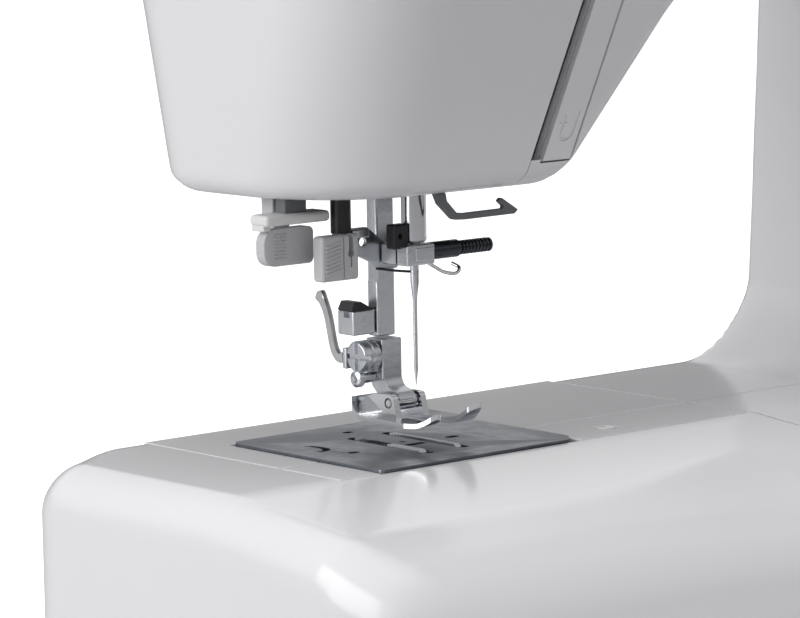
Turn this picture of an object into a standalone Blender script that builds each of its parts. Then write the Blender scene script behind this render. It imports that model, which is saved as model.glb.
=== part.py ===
"""Domestic free-arm sewing machine: casings, free arm, needle and presser group, drive train and controls.

Sizes are millimetres. They are measured from the needle's axis at the level of the needle plate's top,
+X towards the column, +Y to the back, +Z up. place() turns such a point into metres in the part's frame,
whose origin is the middle of the machine's footprint on the table.
"""

import math

import bmesh
import bpy
from mathutils import Matrix, Vector

MM = 0.001
NEEDLE_X, NEEDLE_Y = -117.5, 18.0       # the needle's axis in the part's frame
PLATE_Z = 78.0                          # needle plate above the table
GAP = 0.3                               # between neighbouring pieces
WALL = 3.0                              # casing thickness

# Bed, free arm and base
BED_TOP = -0.6                          # the plastic bed lies a little below the needle plate
BED_LEFT, BED_RIGHT = -80.0, 290.0
BED_FRONT, BED_BACK = -98.0, 51.5
BED_BOTTOM = -68.0
SLOPE_START, SLOPE_END, SLOPE_DROP = -22.0, -60.0, 3.9
FRONT_EDGE_Z = -40.0                    # where the front slope becomes the upright front
ARM_LEFT, ARM_RIGHT = -41.7, 90.2       # the free arm, where the extension table leaves it bare
ARM_FRONT, ARM_BOTTOM = -21.6, -50.0
SPLIT_Y = 0.0                           # joint between the front and the rear casing
PLUG, PLUG_RADIUS = (49.0, -13.0), 2.3  # round plug in the bed, right of the needle plate
TRAY_BOTTOM = -74.0
FLAP_LEFT, FLAP_RIGHT, FLAP_LOW, FLAP_HIGH = -48.0, 76.0, -64.0, -38.0
FOOT_RADIUS, FOOT_HEIGHT = 9.0, 3.7
FOOT_PLACES = {
    "foot_front_left": (-28, -4), "foot_rear_left": (-28, 40),
    "foot_front_right": (274, -84), "foot_rear_right": (274, 40),
}

# Upper body: column, arm and head
BODY_FRONT, BODY_BACK = -46.0, 51.5
HEAD_BOTTOM, HEAD_LEFT, HEAD_RIGHT = 60.0, -40.0, 34.0
HEAD_LEAN_X = -56.0                     # the head's left face leans out to here
BODY_TOP = 212.0
EDGE_RADIUS, EDGE_STEPS = 9.0, 3        # along the front and the back face
LEAST_RADIUS = 0.5
THROAT_TOP, THROAT_LEFT = 122.0, 60.7
COLUMN_LEFT = 164.0
HEAD_FRONT = -16.0                      # at the head's bottom edge
HEAD_SLOPE = 0.48                       # forward lean of the head's lower front
SLOPE_RIGHT = 88.0                      # the lean ends here, in the throat's upper left corner
OPEN_BELOW = 12.0                       # the hollow reaches this far below the casing, to open it
COVER_EDGE = 19.7                       # right edge of the face cover
PANEL_LEFT, PANEL_RIGHT = 23.6, 32.5    # thread guide panel
PANEL_BOTTOM, PANEL_TOP = 66.0, 196.0

# Needle group
STROKE = 30.0
BAR_RADIUS = 2.95
NEEDLE_TIP, NEEDLE_TOP, SHANK_RADIUS = 13.7, 51.7, 1.0
CLAMP_LOW, CLAMP_HIGH = (-5.5, -4.0, 42.7), (3.0, 5.6, 47.5)
SCREW_Z = 45.2

# Needle plate
PLATE_LEFT, PLATE_RIGHT, PLATE_FRONT, PLATE_BACK = -29.5, 32.5, -21.5, 33.5
PLATE_THICK = 2.4
FEED_ROWS = (-5.7, 4.8)
FEED_FRONT, FEED_BACK, FEED_ROOM = -9.0, 14.5, 2.6

# Presser group
PRESSER_LOW, PRESSER_HIGH = (-2.6, 10.4, 24.6), (2.9, 14.2, 140.0)
ANKLE_LOW, ANKLE_HIGH = (-3.0, 8.5, 14.5), (3.1, 14.5, 24.2)
FOOT_PIN = (4.1, 9.7)
SOLE_Z = 5.3
THUMB_Y, THUMB_Z = 11.5, 20.3

# Drive train
SHAFT_Z, CRANK_RADIUS, SHAFT_RADIUS = 160.0, 15.0, 6.0
SHAFT_LEFT, SHAFT_RIGHT = 12.0, 303.0
LOWER_Y, LOWER_Z = 30.0, -33.0
MOTOR_Y, MOTOR_Z, MOTOR_RADIUS = -22.0, -42.0, 20.0
TIMING_X, TIMING_RADIUS = (221.0, 230.0), 10.0
DRIVE_X, DRIVE_RADIUS, MOTOR_PULLEY_RADIUS = (250.0, 260.0), 26.0, 7.0
BELT_THICK, BELT_CLEAR = 2.0, 0.7
WHEEL_X, WHEEL_RADIUS = (291.0, 315.0), 33.0
HOOK_Z, HOOK_RADIUS, CASE_RADIUS = -29.5, 16.5, 13.0

# Controls and fittings
REVERSE, REVERSE_RADIUS = (215.0, 64.0), 9.0
SPOOL, WINDER, PIN_RADIUS = (205.0, 28.0), (258.0, 18.0), 3.0
INLET_LOW, INLET_HIGH = (276.0, -34.0, -64.0), (291.0, -6.0, -44.0)
LIFTER_PIVOT = (36.0, 83.0)
TAKE_UP_PIVOT, TAKE_UP_REACH, TAKE_UP_ANGLE = (-14.0, 152.0), 42.0, 55.0
HANDLE_LEFT, HANDLE_RIGHT, HANDLE_FRONT, HANDLE_BACK = 60.0, 190.0, -17.0, 38.0
HANDLE_RADIUS = 4.0

PLANES = {                              # where a flat outline's u, v and height go
    "XY": Matrix.Identity(4),
    "XZ": Matrix(((1, 0, 0, 0), (0, 0, 1, 0), (0, 1, 0, 0), (0, 0, 0, 1))),
    "YZ": Matrix(((0, 0, 1, 0), (1, 0, 0, 0), (0, 1, 0, 0), (0, 0, 0, 1))),
}
COLOURS = {
    "shell": ((0.84, 0.84, 0.85), 0.18, 0.0), "trim": ((0.42, 0.43, 0.45), 0.4, 0.0),
    "steel": ((0.62, 0.63, 0.65), 0.25, 1.0), "plate": ((0.25, 0.28, 0.33), 0.35, 1.0),
    "dark": ((0.05, 0.05, 0.06), 0.4, 0.0), "iron": ((0.4, 0.41, 0.42), 0.5, 0.9),
    "rubber": ((0.03, 0.03, 0.03), 0.8, 0.0), "white": ((0.8, 0.8, 0.78), 0.35, 0.0),
}


def place(point):
    """A point in millimetres from the needle's axis, as metres in the part's frame."""
    x, y, z = point
    return Vector(((x + NEEDLE_X) * MM, (y + NEEDLE_Y) * MM, (z + PLATE_Z) * MM))


def clear_scene():
    for obj in list(bpy.data.objects):
        bpy.data.objects.remove(obj, do_unlink=True)


def new_collection(name):
    collection = bpy.data.collections.new(name)
    bpy.context.scene.collection.children.link(collection)
    return collection


def material(name, finish):
    """A Principled material of its own for one piece."""
    colour, roughness, metallic = COLOURS[finish]
    made = bpy.data.materials.new(name)
    made.use_nodes = True
    shader = made.node_tree.nodes["Principled BSDF"]
    shader.inputs["Base Color"].default_value = (*colour, 1.0)
    shader.inputs["Roughness"].default_value = roughness
    shader.inputs["Metallic"].default_value = metallic
    return made


class Workshop:
    """Holds the two collections and makes pieces in them."""

    def __init__(self):
        self.parts = new_collection("sewing_machine")
        self.cutters = new_collection("cutters")

    def keep(self, name, mesh, origin, finish):
        """An object for a mesh whose points are millimetres from origin. With no finish it is a cutter."""
        mesh.transform(Matrix.Scale(MM, 4))
        mesh.name = name
        obj = bpy.data.objects.new(name, mesh)
        obj.location = place(origin)
        if finish:
            self.parts.objects.link(obj)
            mesh.materials.append(material(name, finish))
        else:
            self.cutters.objects.link(obj)
            obj.hide_render = True
            obj.display_type = "WIRE"
        return obj

    def box(self, name, low, high, finish=None, origin=None, bevel=0.0, segments=1):
        """A block between two corners. The bevel rounds every edge."""
        low, high = Vector(low), Vector(high)
        centre = (low + high) / 2
        origin = Vector(origin) if origin else centre
        bm = bmesh.new()
        bmesh.ops.create_cube(bm, size=1.0)
        bmesh.ops.scale(bm, vec=high - low, verts=bm.verts)
        bmesh.ops.translate(bm, vec=centre - origin, verts=bm.verts)
        obj = self.keep(name, finished(bm), origin, finish)
        round_edges(obj, bevel, segments)
        return obj

    def rod(self, name, start, axis, length, radius, finish=None, sides=24, tip_radius=None, origin=None):
        """A cylinder or cone from start along an axis letter."""
        bm = bmesh.new()
        bmesh.ops.create_cone(
            bm, cap_ends=True, segments=sides, radius1=radius,
            radius2=radius if tip_radius is None else tip_radius, depth=length,
        )
        bmesh.ops.translate(bm, vec=(0, 0, length / 2), verts=bm.verts)
        bmesh.ops.rotate(bm, cent=(0, 0, 0), matrix=axis_turn(axis), verts=bm.verts)
        origin = Vector(origin) if origin else Vector(start)
        bmesh.ops.translate(bm, vec=Vector(start) - origin, verts=bm.verts)
        mesh = finished(bm)
        smooth(mesh)
        return self.keep(name, mesh, origin, finish)

    def turned(self, name, profile, axis, origin, finish=None, steps=28):
        """A profile of (radius, height) points turned about an axis letter through origin."""
        mesh = bpy.data.meshes.new(name)
        points = [(radius, 0, height) for radius, height in profile]
        mesh.from_pydata(points, [(i, i + 1) for i in range(len(points) - 1)], [])
        obj = self.keep(name, mesh, origin, finish)
        screw = obj.modifiers.new("Turn", "SCREW")
        screw.steps = screw.render_steps = steps
        screw.use_merge_vertices = True
        screw.merge_threshold = 1e-5
        obj.rotation_euler = axis_turn(axis).to_euler()
        return obj

    def prism(self, name, outline, plane, start, end, finish=None, holes=(), origin=(0, 0, 0)):
        """A flat outline, with its holes, between two heights along the normal of a plane such as XY."""
        curve = bpy.data.curves.new(name, "CURVE")
        curve.dimensions = "2D"
        curve.fill_mode = "BOTH"
        curve.extrude = abs(end - start) / 2
        for ring in (outline, *holes):
            spline = curve.splines.new("POLY")
            spline.points.add(len(ring) - 1)
            spline.use_cyclic_u = True
            for point, (u, v) in zip(spline.points, ring):
                point.co = (u, v, 0, 1)
        helper = bpy.data.objects.new(name, curve)
        bpy.context.scene.collection.objects.link(helper)
        bpy.context.view_layer.update()
        graph = bpy.context.evaluated_depsgraph_get()
        mesh = bpy.data.meshes.new_from_object(helper.evaluated_get(graph))
        bpy.data.objects.remove(helper)
        bpy.data.curves.remove(curve)
        bm = bmesh.new()
        bm.from_mesh(mesh)
        bmesh.ops.remove_doubles(bm, verts=bm.verts, dist=1e-4)
        bmesh.ops.translate(bm, vec=(0, 0, (start + end) / 2), verts=bm.verts)
        bmesh.ops.transform(bm, matrix=PLANES[plane], verts=bm.verts)
        bmesh.ops.translate(bm, vec=-Vector(origin), verts=bm.verts)
        bmesh.ops.recalc_face_normals(bm, faces=bm.faces)
        bpy.data.meshes.remove(mesh)
        return self.keep(name, finished(bm), origin, finish)

    def loft(self, name, rings, finish=None):
        """A skin over rings of points that match one for one, closed by a cap at each end."""
        bm = bmesh.new()
        made = [[bm.verts.new(point) for point in ring] for ring in rings]
        count = len(rings[0])
        for low, high in zip(made, made[1:]):
            for i in range(count):
                j = (i + 1) % count
                bm.faces.new((low[i], low[j], high[j], high[i]))
        bm.faces.new(made[0])
        bm.faces.new(reversed(made[-1]))
        bmesh.ops.recalc_face_normals(bm, faces=bm.faces)
        return self.keep(name, finished(bm), (0, 0, 0), finish)

    def wire(self, name, points, radius, finish, origin, resolution=2):
        """A round wire or bar along points."""
        curve = bpy.data.curves.new(name, "CURVE")
        curve.dimensions = "3D"
        curve.bevel_depth = radius * MM
        curve.bevel_resolution = resolution
        curve.use_fill_caps = True
        spline = curve.splines.new("POLY")
        spline.points.add(len(points) - 1)
        for point, place_mm in zip(spline.points, points):
            point.co = (*((Vector(place_mm) - Vector(origin)) * MM), 1)
        obj = bpy.data.objects.new(name, curve)
        obj.location = place(origin)
        self.parts.objects.link(obj)
        curve.materials.append(material(name, finish))
        return obj


def finished(bm):
    mesh = bpy.data.meshes.new("piece")
    bm.to_mesh(mesh)
    bm.free()
    return mesh


def smooth(mesh):
    mesh.shade_smooth()
    mesh.set_sharp_from_angle(angle=math.radians(40))


def axis_turn(axis):
    """The turn that takes +Z to an axis letter, with a minus sign for its opposite."""
    return {
        "Z": Matrix.Identity(3), "X": Matrix.Rotation(math.pi / 2, 3, "Y"),
        "Y": Matrix.Rotation(-math.pi / 2, 3, "X"), "-X": Matrix.Rotation(-math.pi / 2, 3, "Y"),
        "-Y": Matrix.Rotation(math.pi / 2, 3, "X"), "-Z": Matrix.Rotation(math.pi, 3, "X"),
    }[axis]


def round_edges(obj, width, segments=1):
    if not width:
        return
    bevel = obj.modifiers.new("Round", "BEVEL")
    bevel.width = width * MM
    bevel.segments = segments
    bevel.limit_method = "ANGLE"


def boolean(obj, other, operation):
    made = obj.modifiers.new(operation.title(), "BOOLEAN")
    made.operation = operation
    made.object = other
    made.solver = "EXACT"


def cut(obj, *cutters):
    for cutter in cutters:
        boolean(obj, cutter, "DIFFERENCE")


def join(obj, *others):
    for other in others:
        boolean(obj, other, "UNION")


def keep_inside(obj, other):
    boolean(obj, other, "INTERSECT")


def rounded(corners, inset=0.0, arc_steps=4):
    """Counter-clockwise corners (x, y, radius) as points, moved in by inset, with arcs at the corners."""
    count = len(corners)
    edges = []
    for i in range(count):
        a, b = Vector(corners[i][:2]), Vector(corners[(i + 1) % count][:2])
        along = (b - a).normalized()
        inward = Vector((-along.y, along.x))
        edges.append((a + inward * inset, along))
    points = []
    for i in range(count):
        (p, d), (q, e) = edges[i - 1], edges[i]
        turn = d.x * e.y - d.y * e.x
        corner = p + d * (((q - p).x * e.y - (q - p).y * e.x) / turn)
        radius = corners[i][2]
        if radius:
            radius = max(radius - inset, LEAST_RADIUS) if turn > 0 else radius + inset
        if not radius:
            points.append(tuple(corner))
            continue
        angle = math.atan2(turn, d.dot(e))
        back = radius * math.tan(abs(angle) / 2)
        side = Vector((-d.y, d.x)) * math.copysign(radius, turn)
        centre = corner - d * back + side
        for step in range(arc_steps + 1):
            spun = Matrix.Rotation(angle * step / arc_steps, 2) @ -side
            points.append(tuple(centre + spun))
    return points


def belt_ring(a, radius_a, b, radius_b, steps=10):
    """The loop that wraps two circles, counter-clockwise."""
    a, b = Vector(a), Vector(b)
    along = math.atan2(b.y - a.y, b.x - a.x)
    lean = math.acos((radius_a - radius_b) / (b - a).length)
    points = []
    for centre, radius, first, last in (
        (a, radius_a, along + lean, along + 2 * math.pi - lean),
        (b, radius_b, along - lean, along + lean),
    ):
        for step in range(steps + 1):
            angle = first + (last - first) * step / steps
            points.append((centre.x + radius * math.cos(angle), centre.y + radius * math.sin(angle)))
    return points


def upper_corners():
    """Column, arm, head and the bed below the column, seen from the front."""
    return [
        (HEAD_LEFT, HEAD_BOTTOM, 4), (HEAD_RIGHT, HEAD_BOTTOM, 8), (THROAT_LEFT, THROAT_TOP, 25),
        (COLUMN_LEFT + 6, THROAT_TOP, 26), (COLUMN_LEFT - 1, BED_TOP, 26), (ARM_RIGHT + GAP, BED_TOP, 0),
        (ARM_RIGHT + GAP, BED_BOTTOM, 0), (BED_RIGHT, BED_BOTTOM, 0), (BED_RIGHT, BODY_TOP, 32),
        (HEAD_LEAN_X, BODY_TOP, 40), (HEAD_LEAN_X, 150, 30),
    ]


def bed_profile(inset=0.0, back=BED_BACK):
    """The bed seen from the right, as (y, z) points. The hollow inside it is open at the bottom."""
    low = BED_BOTTOM - (OPEN_BELOW if inset else 0)
    return rounded(
        [
            (BED_FRONT, low, 0), (back, low, 0), (back, BED_TOP, 0), (SLOPE_START, BED_TOP, 0),
            (SLOPE_END, BED_TOP - SLOPE_DROP, 12), (BED_FRONT + 12, BED_TOP - 14, 30),
            (BED_FRONT, FRONT_EDGE_Z, 20),
        ],
        inset, 3,
    )


def head_front(z):
    """The leaning front of the lower head at a height."""
    return HEAD_FRONT - HEAD_SLOPE * (z - HEAD_BOTTOM)


def cushion_rings(corners, inset):
    """Rings from front to back whose outline draws in near both faces, so that their edges are round."""
    radius = EDGE_RADIUS - inset
    half = (BODY_BACK - BODY_FRONT) / 2 - inset
    middle = (BODY_BACK + BODY_FRONT) / 2
    turns = [math.pi / 2 * step / EDGE_STEPS for step in range(EDGE_STEPS + 1)]
    rims = [(half - radius * (1 - math.sin(turn)), radius * (1 - math.cos(turn))) for turn in turns]
    rims = [(-reach, draw) for reach, draw in reversed(rims)] + rims
    return [
        [(x, middle + reach, z) for x, z in rounded(corners, inset + draw)] for reach, draw in rims
    ]


def casing_blank(shop, name, inset=0.0, finish=None):
    """The whole body as one block, or the hollow inside it when inset."""
    corners = upper_corners()
    if inset:
        low = BED_BOTTOM - OPEN_BELOW
        corners[5:8] = [(ARM_RIGHT, BED_TOP, 0), (ARM_RIGHT, low, 0), (BED_RIGHT, low, 0)]
    body = shop.loft(name, cushion_rings(corners, inset), finish)
    below, above, clear_y = HEAD_BOTTOM - 5, HEAD_BOTTOM + 75, BODY_FRONT - 40
    wedge = [(head_front(z) + inset, z) for z in (below, above)] + [(clear_y, above), (clear_y, below)]
    slope = shop.prism(name + "_slope", wedge, "YZ", HEAD_LEAN_X - 20, SLOPE_RIGHT)
    cut(body, slope)
    bed = shop.prism(name + "_bed", bed_profile(inset), "YZ", ARM_RIGHT + GAP + inset, BED_RIGHT - inset)
    join(body, bed)
    return body


def casing_windows(shop):
    """What is cut from every casing piece: ways for shafts, the free arm and the needle group."""
    return [
        shop.box("window_arm", (ARM_RIGHT - 4, -17, -47), (ARM_RIGHT + 6, 48, -4)),
        shop.box("window_head", (-34, -9, 55), (31.5, 33, 66)),
        shop.rod("window_shaft", (BED_RIGHT - 8, 0, SHAFT_Z), "X", 12, SHAFT_RADIUS + 1),
    ]


def make_casings(shop):
    inner = casing_blank(shop, "inner_body", WALL)
    windows = casing_windows(shop)
    far, joint = 400, COVER_EDGE + GAP
    regions = {
        "front_casing": ((joint, -far, -far), (far, SPLIT_Y - GAP / 2, far)),
        "rear_casing": ((joint, SPLIT_Y + GAP / 2, -far), (far, far, far)),
        "face_cover": ((-far, -far, -far), (COVER_EDGE, far, far)),
    }
    shells = {}
    for name, (low, high) in regions.items():
        shells[name] = casing_blank(shop, name, finish="shell")
        keep_inside(shells[name], shop.box("keep_" + name, low, high))
        cut(shells[name], inner, *windows)
    cut(
        shells["front_casing"],
        shop.box("channel", (COVER_EDGE, -70, PANEL_BOTTOM), (PANEL_LEFT, -13, PANEL_TOP + 4)),
        panel_block(shop, "panel_seat", 1.8, GAP),
        shop.rod("window_reverse", (REVERSE[0], BODY_FRONT - 4, REVERSE[1]), "Y", 12, REVERSE_RADIUS + 0.4),
        shop.box("window_switch", (BED_RIGHT - 8, -32, -38.5), (BED_RIGHT + 4, -8, -22)),
        shop.box(
            "window_inlet", (BED_RIGHT - 8, INLET_LOW[1] - GAP, INLET_LOW[2] - GAP),
            (BED_RIGHT + 4, INLET_HIGH[1] + GAP, INLET_HIGH[2] + GAP),
        ),
    )
    cut(
        shells["rear_casing"],
        shop.rod("window_spool", (*SPOOL, BODY_TOP - 8), "Z", 12, PIN_RADIUS + 0.6),
        shop.rod("window_winder", (*WINDER, BODY_TOP - 8), "Z", 12, PIN_RADIUS + 2),
        shop.box("window_lifter", (20.0, BODY_BACK - 8, 66), (34, BODY_BACK + 4, 106)),
    )


def front_line(depth, low, high):
    """Points (y, z) down the head's front at a depth behind its surface, from high to low."""
    bend = HEAD_BOTTOM + (HEAD_FRONT - BODY_FRONT) / HEAD_SLOPE
    return [(BODY_FRONT + depth, high), (BODY_FRONT + depth, bend), (head_front(low) + depth, low)]


def panel_block(shop, name, depth, margin, finish=None):
    """The band of the head's front between two heights that the thread guide panel fills."""
    outer = front_line(0 if finish else -2, PANEL_BOTTOM - margin, PANEL_TOP + margin)
    inner = front_line(depth, PANEL_BOTTOM - margin, PANEL_TOP + margin)
    return shop.prism(
        name, outer + inner[::-1], "YZ",
        PANEL_LEFT - (1 if margin else 0), PANEL_RIGHT + margin, finish, origin=(0, 0, 0),
    )


def make_base(shop):
    outline = [
        (ARM_LEFT + 2, -15), (95, -15), (95, BED_FRONT + 2), (BED_RIGHT - 1, BED_FRONT + 2),
        (BED_RIGHT - 1, BED_BACK - 1), (ARM_LEFT + 2, BED_BACK - 1),
    ]
    tray = shop.prism("base_tray", outline, "XY", TRAY_BOTTOM, BED_BOTTOM - GAP, "shell")
    round_edges(tray, 1.2)
    for name, (x, y) in FOOT_PLACES.items():
        shop.rod(
            name, (x, y, TRAY_BOTTOM - GAP), "-Z", FOOT_HEIGHT, FOOT_RADIUS, "rubber",
            tip_radius=FOOT_RADIUS - 1,
        )
    inlet = shop.box("power_inlet", INLET_LOW, INLET_HIGH, "dark")
    cut(inlet, shop.box("inlet_socket", (281, -31, -61), (BED_RIGHT + 4, -9, -47)))
    shop.box(
        "power_switch", (284, -31, -37.5), (BED_RIGHT + 1.5, -9, -23), "dark",
        origin=(285, -20, -30), bevel=0.8,
    )


def make_free_arm(shop):
    seat = BED_TOP - WALL
    shell_low, shell_high = (ARM_LEFT, ARM_FRONT + 2.8, ARM_BOTTOM), (ARM_RIGHT, BED_BACK, seat)
    shell = shop.box("free_arm_shell", shell_low, shell_high, "shell")
    hollow_low = (ARM_LEFT + WALL, ARM_FRONT - 5, ARM_BOTTOM + WALL)
    cut(shell, shop.box("arm_hollow", hollow_low, (ARM_RIGHT + 5, BED_BACK - WALL, 5)))
    for name, x in (("rib_left", PLATE_LEFT + 0.5), ("rib_right", PLATE_RIGHT - 3.5)):
        join(shell, shop.box(name, (x, -16, ARM_BOTTOM + 1), (x + 3, 24, seat)))
    window = shop.box(
        "plate_window", (PLATE_LEFT - GAP, PLATE_FRONT - 4, -PLATE_THICK - GAP),
        (PLATE_RIGHT + GAP, PLATE_BACK + GAP, 5),
    )
    deep_window = shop.box("hook_window", (PLATE_LEFT + 4, -17, -12), (PLATE_RIGHT - 4, 30, 5))
    under = seat + GAP
    cover = shop.box(
        "free_arm_cover", (ARM_LEFT, SPLIT_Y + GAP / 2, under), (ARM_RIGHT, BED_BACK, BED_TOP), "shell"
    )
    cut(cover, window, deep_window)
    front = shop.prism(
        "shuttle_cover",
        [
            (ARM_FRONT, -45), (ARM_FRONT + 2.5, -45), (ARM_FRONT + 2.5, under), (SPLIT_Y - GAP / 2, under),
            (SPLIT_Y - GAP / 2, BED_TOP), (ARM_FRONT, BED_TOP),
        ],
        "YZ", ARM_LEFT, ARM_RIGHT, "shell",
    )
    cut(front, window, deep_window, shop.rod("plug_hole", (*PLUG, -6), "Z", 10, PLUG_RADIUS + GAP))
    shop.rod("bed_plug", (*PLUG, under + GAP), "Z", 2.3, PLUG_RADIUS, "white", sides=20)


def make_extension_table(shop):
    outline = rounded(
        [
            (BED_LEFT, BED_FRONT, 30), (ARM_RIGHT - GAP, BED_FRONT, 0), (ARM_RIGHT - GAP, SLOPE_START, 0),
            (ARM_LEFT - 0.6, SLOPE_START, 0), (ARM_LEFT - 0.6, BED_BACK, 0), (BED_LEFT, BED_BACK, 14),
        ]
    )
    table = shop.prism("extension_table", outline, "XY", TRAY_BOTTOM + 1, BED_TOP, "shell")
    far = 5
    profile = [
        (y + (far if y > BED_BACK - 1 else 0), z - (8 if z < BED_BOTTOM + 1 else 0)) for y, z in bed_profile()
    ]
    keep_inside(table, shop.prism("table_profile", profile, "YZ", BED_LEFT - far, ARM_RIGHT + far))
    below, right = TRAY_BOTTOM - far, ARM_RIGHT + far
    end = rounded([
        (BED_LEFT, below, 0), (right, below, 0), (right, far, 0), (ARM_LEFT, far, 0), (ARM_LEFT, BED_TOP, 0),
        (BED_LEFT, BED_TOP, 16),
    ])
    keep_inside(table, shop.prism("table_end", end, "XZ", BED_FRONT - far, BED_BACK + far))
    mouth_low, mouth_high = (FLAP_LEFT, BED_FRONT - 5, FLAP_LOW), (FLAP_RIGHT, BED_FRONT + 16, FLAP_HIGH)
    cut(
        table,
        shop.box("table_hollow", (-68, BED_FRONT + 12, -66), (84, SLOPE_START - 4, -23)),
        shop.box("table_mouth", mouth_low, mouth_high),
    )
    shop.box(
        "accessory_flap", (FLAP_LEFT + GAP, BED_FRONT, FLAP_LOW + GAP),
        (FLAP_RIGHT - GAP, BED_FRONT + 3, FLAP_HIGH - GAP), "shell",
        origin=((FLAP_LEFT + FLAP_RIGHT) / 2, BED_FRONT + 0.8, FLAP_LOW + 1.3),
    )


def make_plate(shop):
    outline = rounded(
        [
            (PLATE_LEFT, PLATE_FRONT, 1), (PLATE_RIGHT - 4, PLATE_FRONT, 0),
            (PLATE_RIGHT, PLATE_FRONT + 4, 0), (PLATE_RIGHT, PLATE_BACK, 1), (PLATE_LEFT, PLATE_BACK, 3),
        ]
    )
    holes = [[(-3.4, -1), (2.6, -1), (2.6, 1), (-3.4, 1)]]
    slot_front, slot_back = FEED_FRONT - FEED_ROOM, FEED_BACK + FEED_ROOM
    for left, right in [(x - 1.5, x + 1.5) for x in FEED_ROWS]:
        holes.append([(left, slot_front), (right, slot_front), (right, slot_back), (left, slot_back)])
    shop.prism("needle_plate", outline, "XY", -PLATE_THICK, 0, "plate", holes=holes)
    dog = shop.box("feed_dog", (FEED_ROWS[0] - 1, 6, -10), (FEED_ROWS[1] + 1, FEED_BACK, -6), "steel")
    for index, x in enumerate(FEED_ROWS):
        join(dog, shop.box(f"feed_row_{index}", (x - 1, FEED_FRONT, -8), (x + 1, FEED_BACK, -0.5)))
    bar = shop.box("feed_bar", (-7, 16.5, -12.6), (24, 24, -8), "iron")
    join(bar, shop.box("feed_fork", (-4, 4, -12.6), (4, 18, -10.5)))


def make_needle_group(shop):
    bar = shop.rod("needle_bar", (0, 0, CLAMP_HIGH[2] + GAP), "Z", 86, BAR_RADIUS, "steel")
    bore = shop.rod("needle_bore", (0, 0, 40), "Z", 13, SHANK_RADIUS + 0.35, sides=16)
    cut(bar, bore)
    clamp = shop.box("needle_clamp", CLAMP_LOW, CLAMP_HIGH, "steel", bevel=0.4)
    cut(clamp, bore)
    shop.turned(
        "needle",
        [
            (0, NEEDLE_TOP), (SHANK_RADIUS, NEEDLE_TOP), (SHANK_RADIUS, 37), (0.55, 33), (0.5, 16),
            (0, NEEDLE_TIP),
        ],
        "Z", (0, 0, 0), "steel", steps=12,
    )
    screw = shop.rod("needle_clamp_screw", (CLAMP_HIGH[0] + GAP, 0, SCREW_Z), "X", 10.2, 2.1, "steel")
    join(screw, shop.rod("screw_grip", (12, 0, SCREW_Z), "X", 11.4, 1.7))
    shop.wire(
        "needle_thread_guide",
        [(2.2, -4.5, 41.9), (5, -5, 40.6), (7.6, -6, 40.2), (9.2, -5.4, 41.3), (8.6, -3.4, 42.3)],
        0.45, "steel", (2.2, -4.5, 41.9), 1,
    )
    rod = shop.prism(
        "connecting_rod",
        rounded([(-5, 112, 5), (5, 112, 5), (5, 181, 5), (-5, 181, 5)]), "YZ", 5.2, 8.6, "iron",
        origin=(0, 0, 120),
    )
    join(rod, shop.rod("rod_boss", (BAR_RADIUS + GAP, 0, 118), "X", 4, 3.5))


def make_presser_group(shop):
    shop.box("presser_bar", PRESSER_LOW, PRESSER_HIGH, "iron", bevel=0.4)
    ankle = shop.box("presser_ankle", ANKLE_LOW, ANKLE_HIGH, "steel")
    tongue = [(9, 15), (14, 15), (12.5, 12.6), (6.8, 8.0), (4.1, 7.6), (2.2, 9.7), (4.1, 11.8), (7.5, 12.6)]
    join(
        ankle,
        shop.prism("ankle_tongue", tongue, "YZ", -2.6, 2.6),
        shop.box("ankle_lug", (-8.2, 15.7, 17), (-1, 17.2, 22)),
        shop.box("ankle_lug_root", (-2.8, 13, 17.4), (0, 16.6, 21.6)),
    )
    pin_hole = shop.rod("pin_hole", (-12, *FOOT_PIN), "X", 24, 1.3, sides=16)
    cut(ankle, pin_hole)
    thumb = shop.rod("ankle_screw", (ANKLE_LOW[0] - GAP, THUMB_Y, THUMB_Z), "-X", 5.4, 3.8, "steel")
    cut(thumb, shop.box("thumb_slot", (-12, THUMB_Y - 0.6, THUMB_Z - 5), (-7.6, THUMB_Y + 0.6, THUMB_Z + 5)))
    shop.prism(
        "release_lever",
        [(17.6, 18), (20.5, 17.6), (23.4, 21), (25.2, 28), (27.6, 33), (27.2, 35.4), (25.4, 35), (22.4, 28.6),
         (20.8, 22.6), (17.8, 21)],
        "YZ", -7.6, -6.2, "steel", origin=(0, 18.6, 19.4),
    )
    shop.box("bar_block", (-9.6, 11, 25.4), (-2.9, 17, 33.4), "steel", bevel=0.4)
    shop.rod("foot_pin", (-5.4, *FOOT_PIN), "X", 10.8, 1.0, "steel", sides=16)
    make_foot(shop, pin_hole)


def make_foot(shop, pin_hole):
    half, thick = 9.0, 1.5
    foot = shop.prism(
        "presser_foot",
        [
            (-15.5, 9.6), (-12, 7.2), (-8, SOLE_Z), (9, SOLE_Z), (13, 6.8), (16, 9.6), (15.4, 11),
            (12, 8.6), (8.6, SOLE_Z + thick), (-7.8, SOLE_Z + thick), (-11.6, 8.6), (-15, 10.9),
        ],
        "YZ", -half, half, "steel", origin=(0, *FOOT_PIN),
    )
    cut(foot, shop.box("foot_slot", (-3.4, -20, 0), (3.0, 2.2, 20)))
    for name, x in (("ear_left", -4.9), ("ear_right", 3.2)):
        join(foot, shop.box(name, (x, 1.6, SOLE_Z + 0.5), (x + 1.7, 8.4, 11.9)))
    cut(foot, pin_hole)


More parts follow.
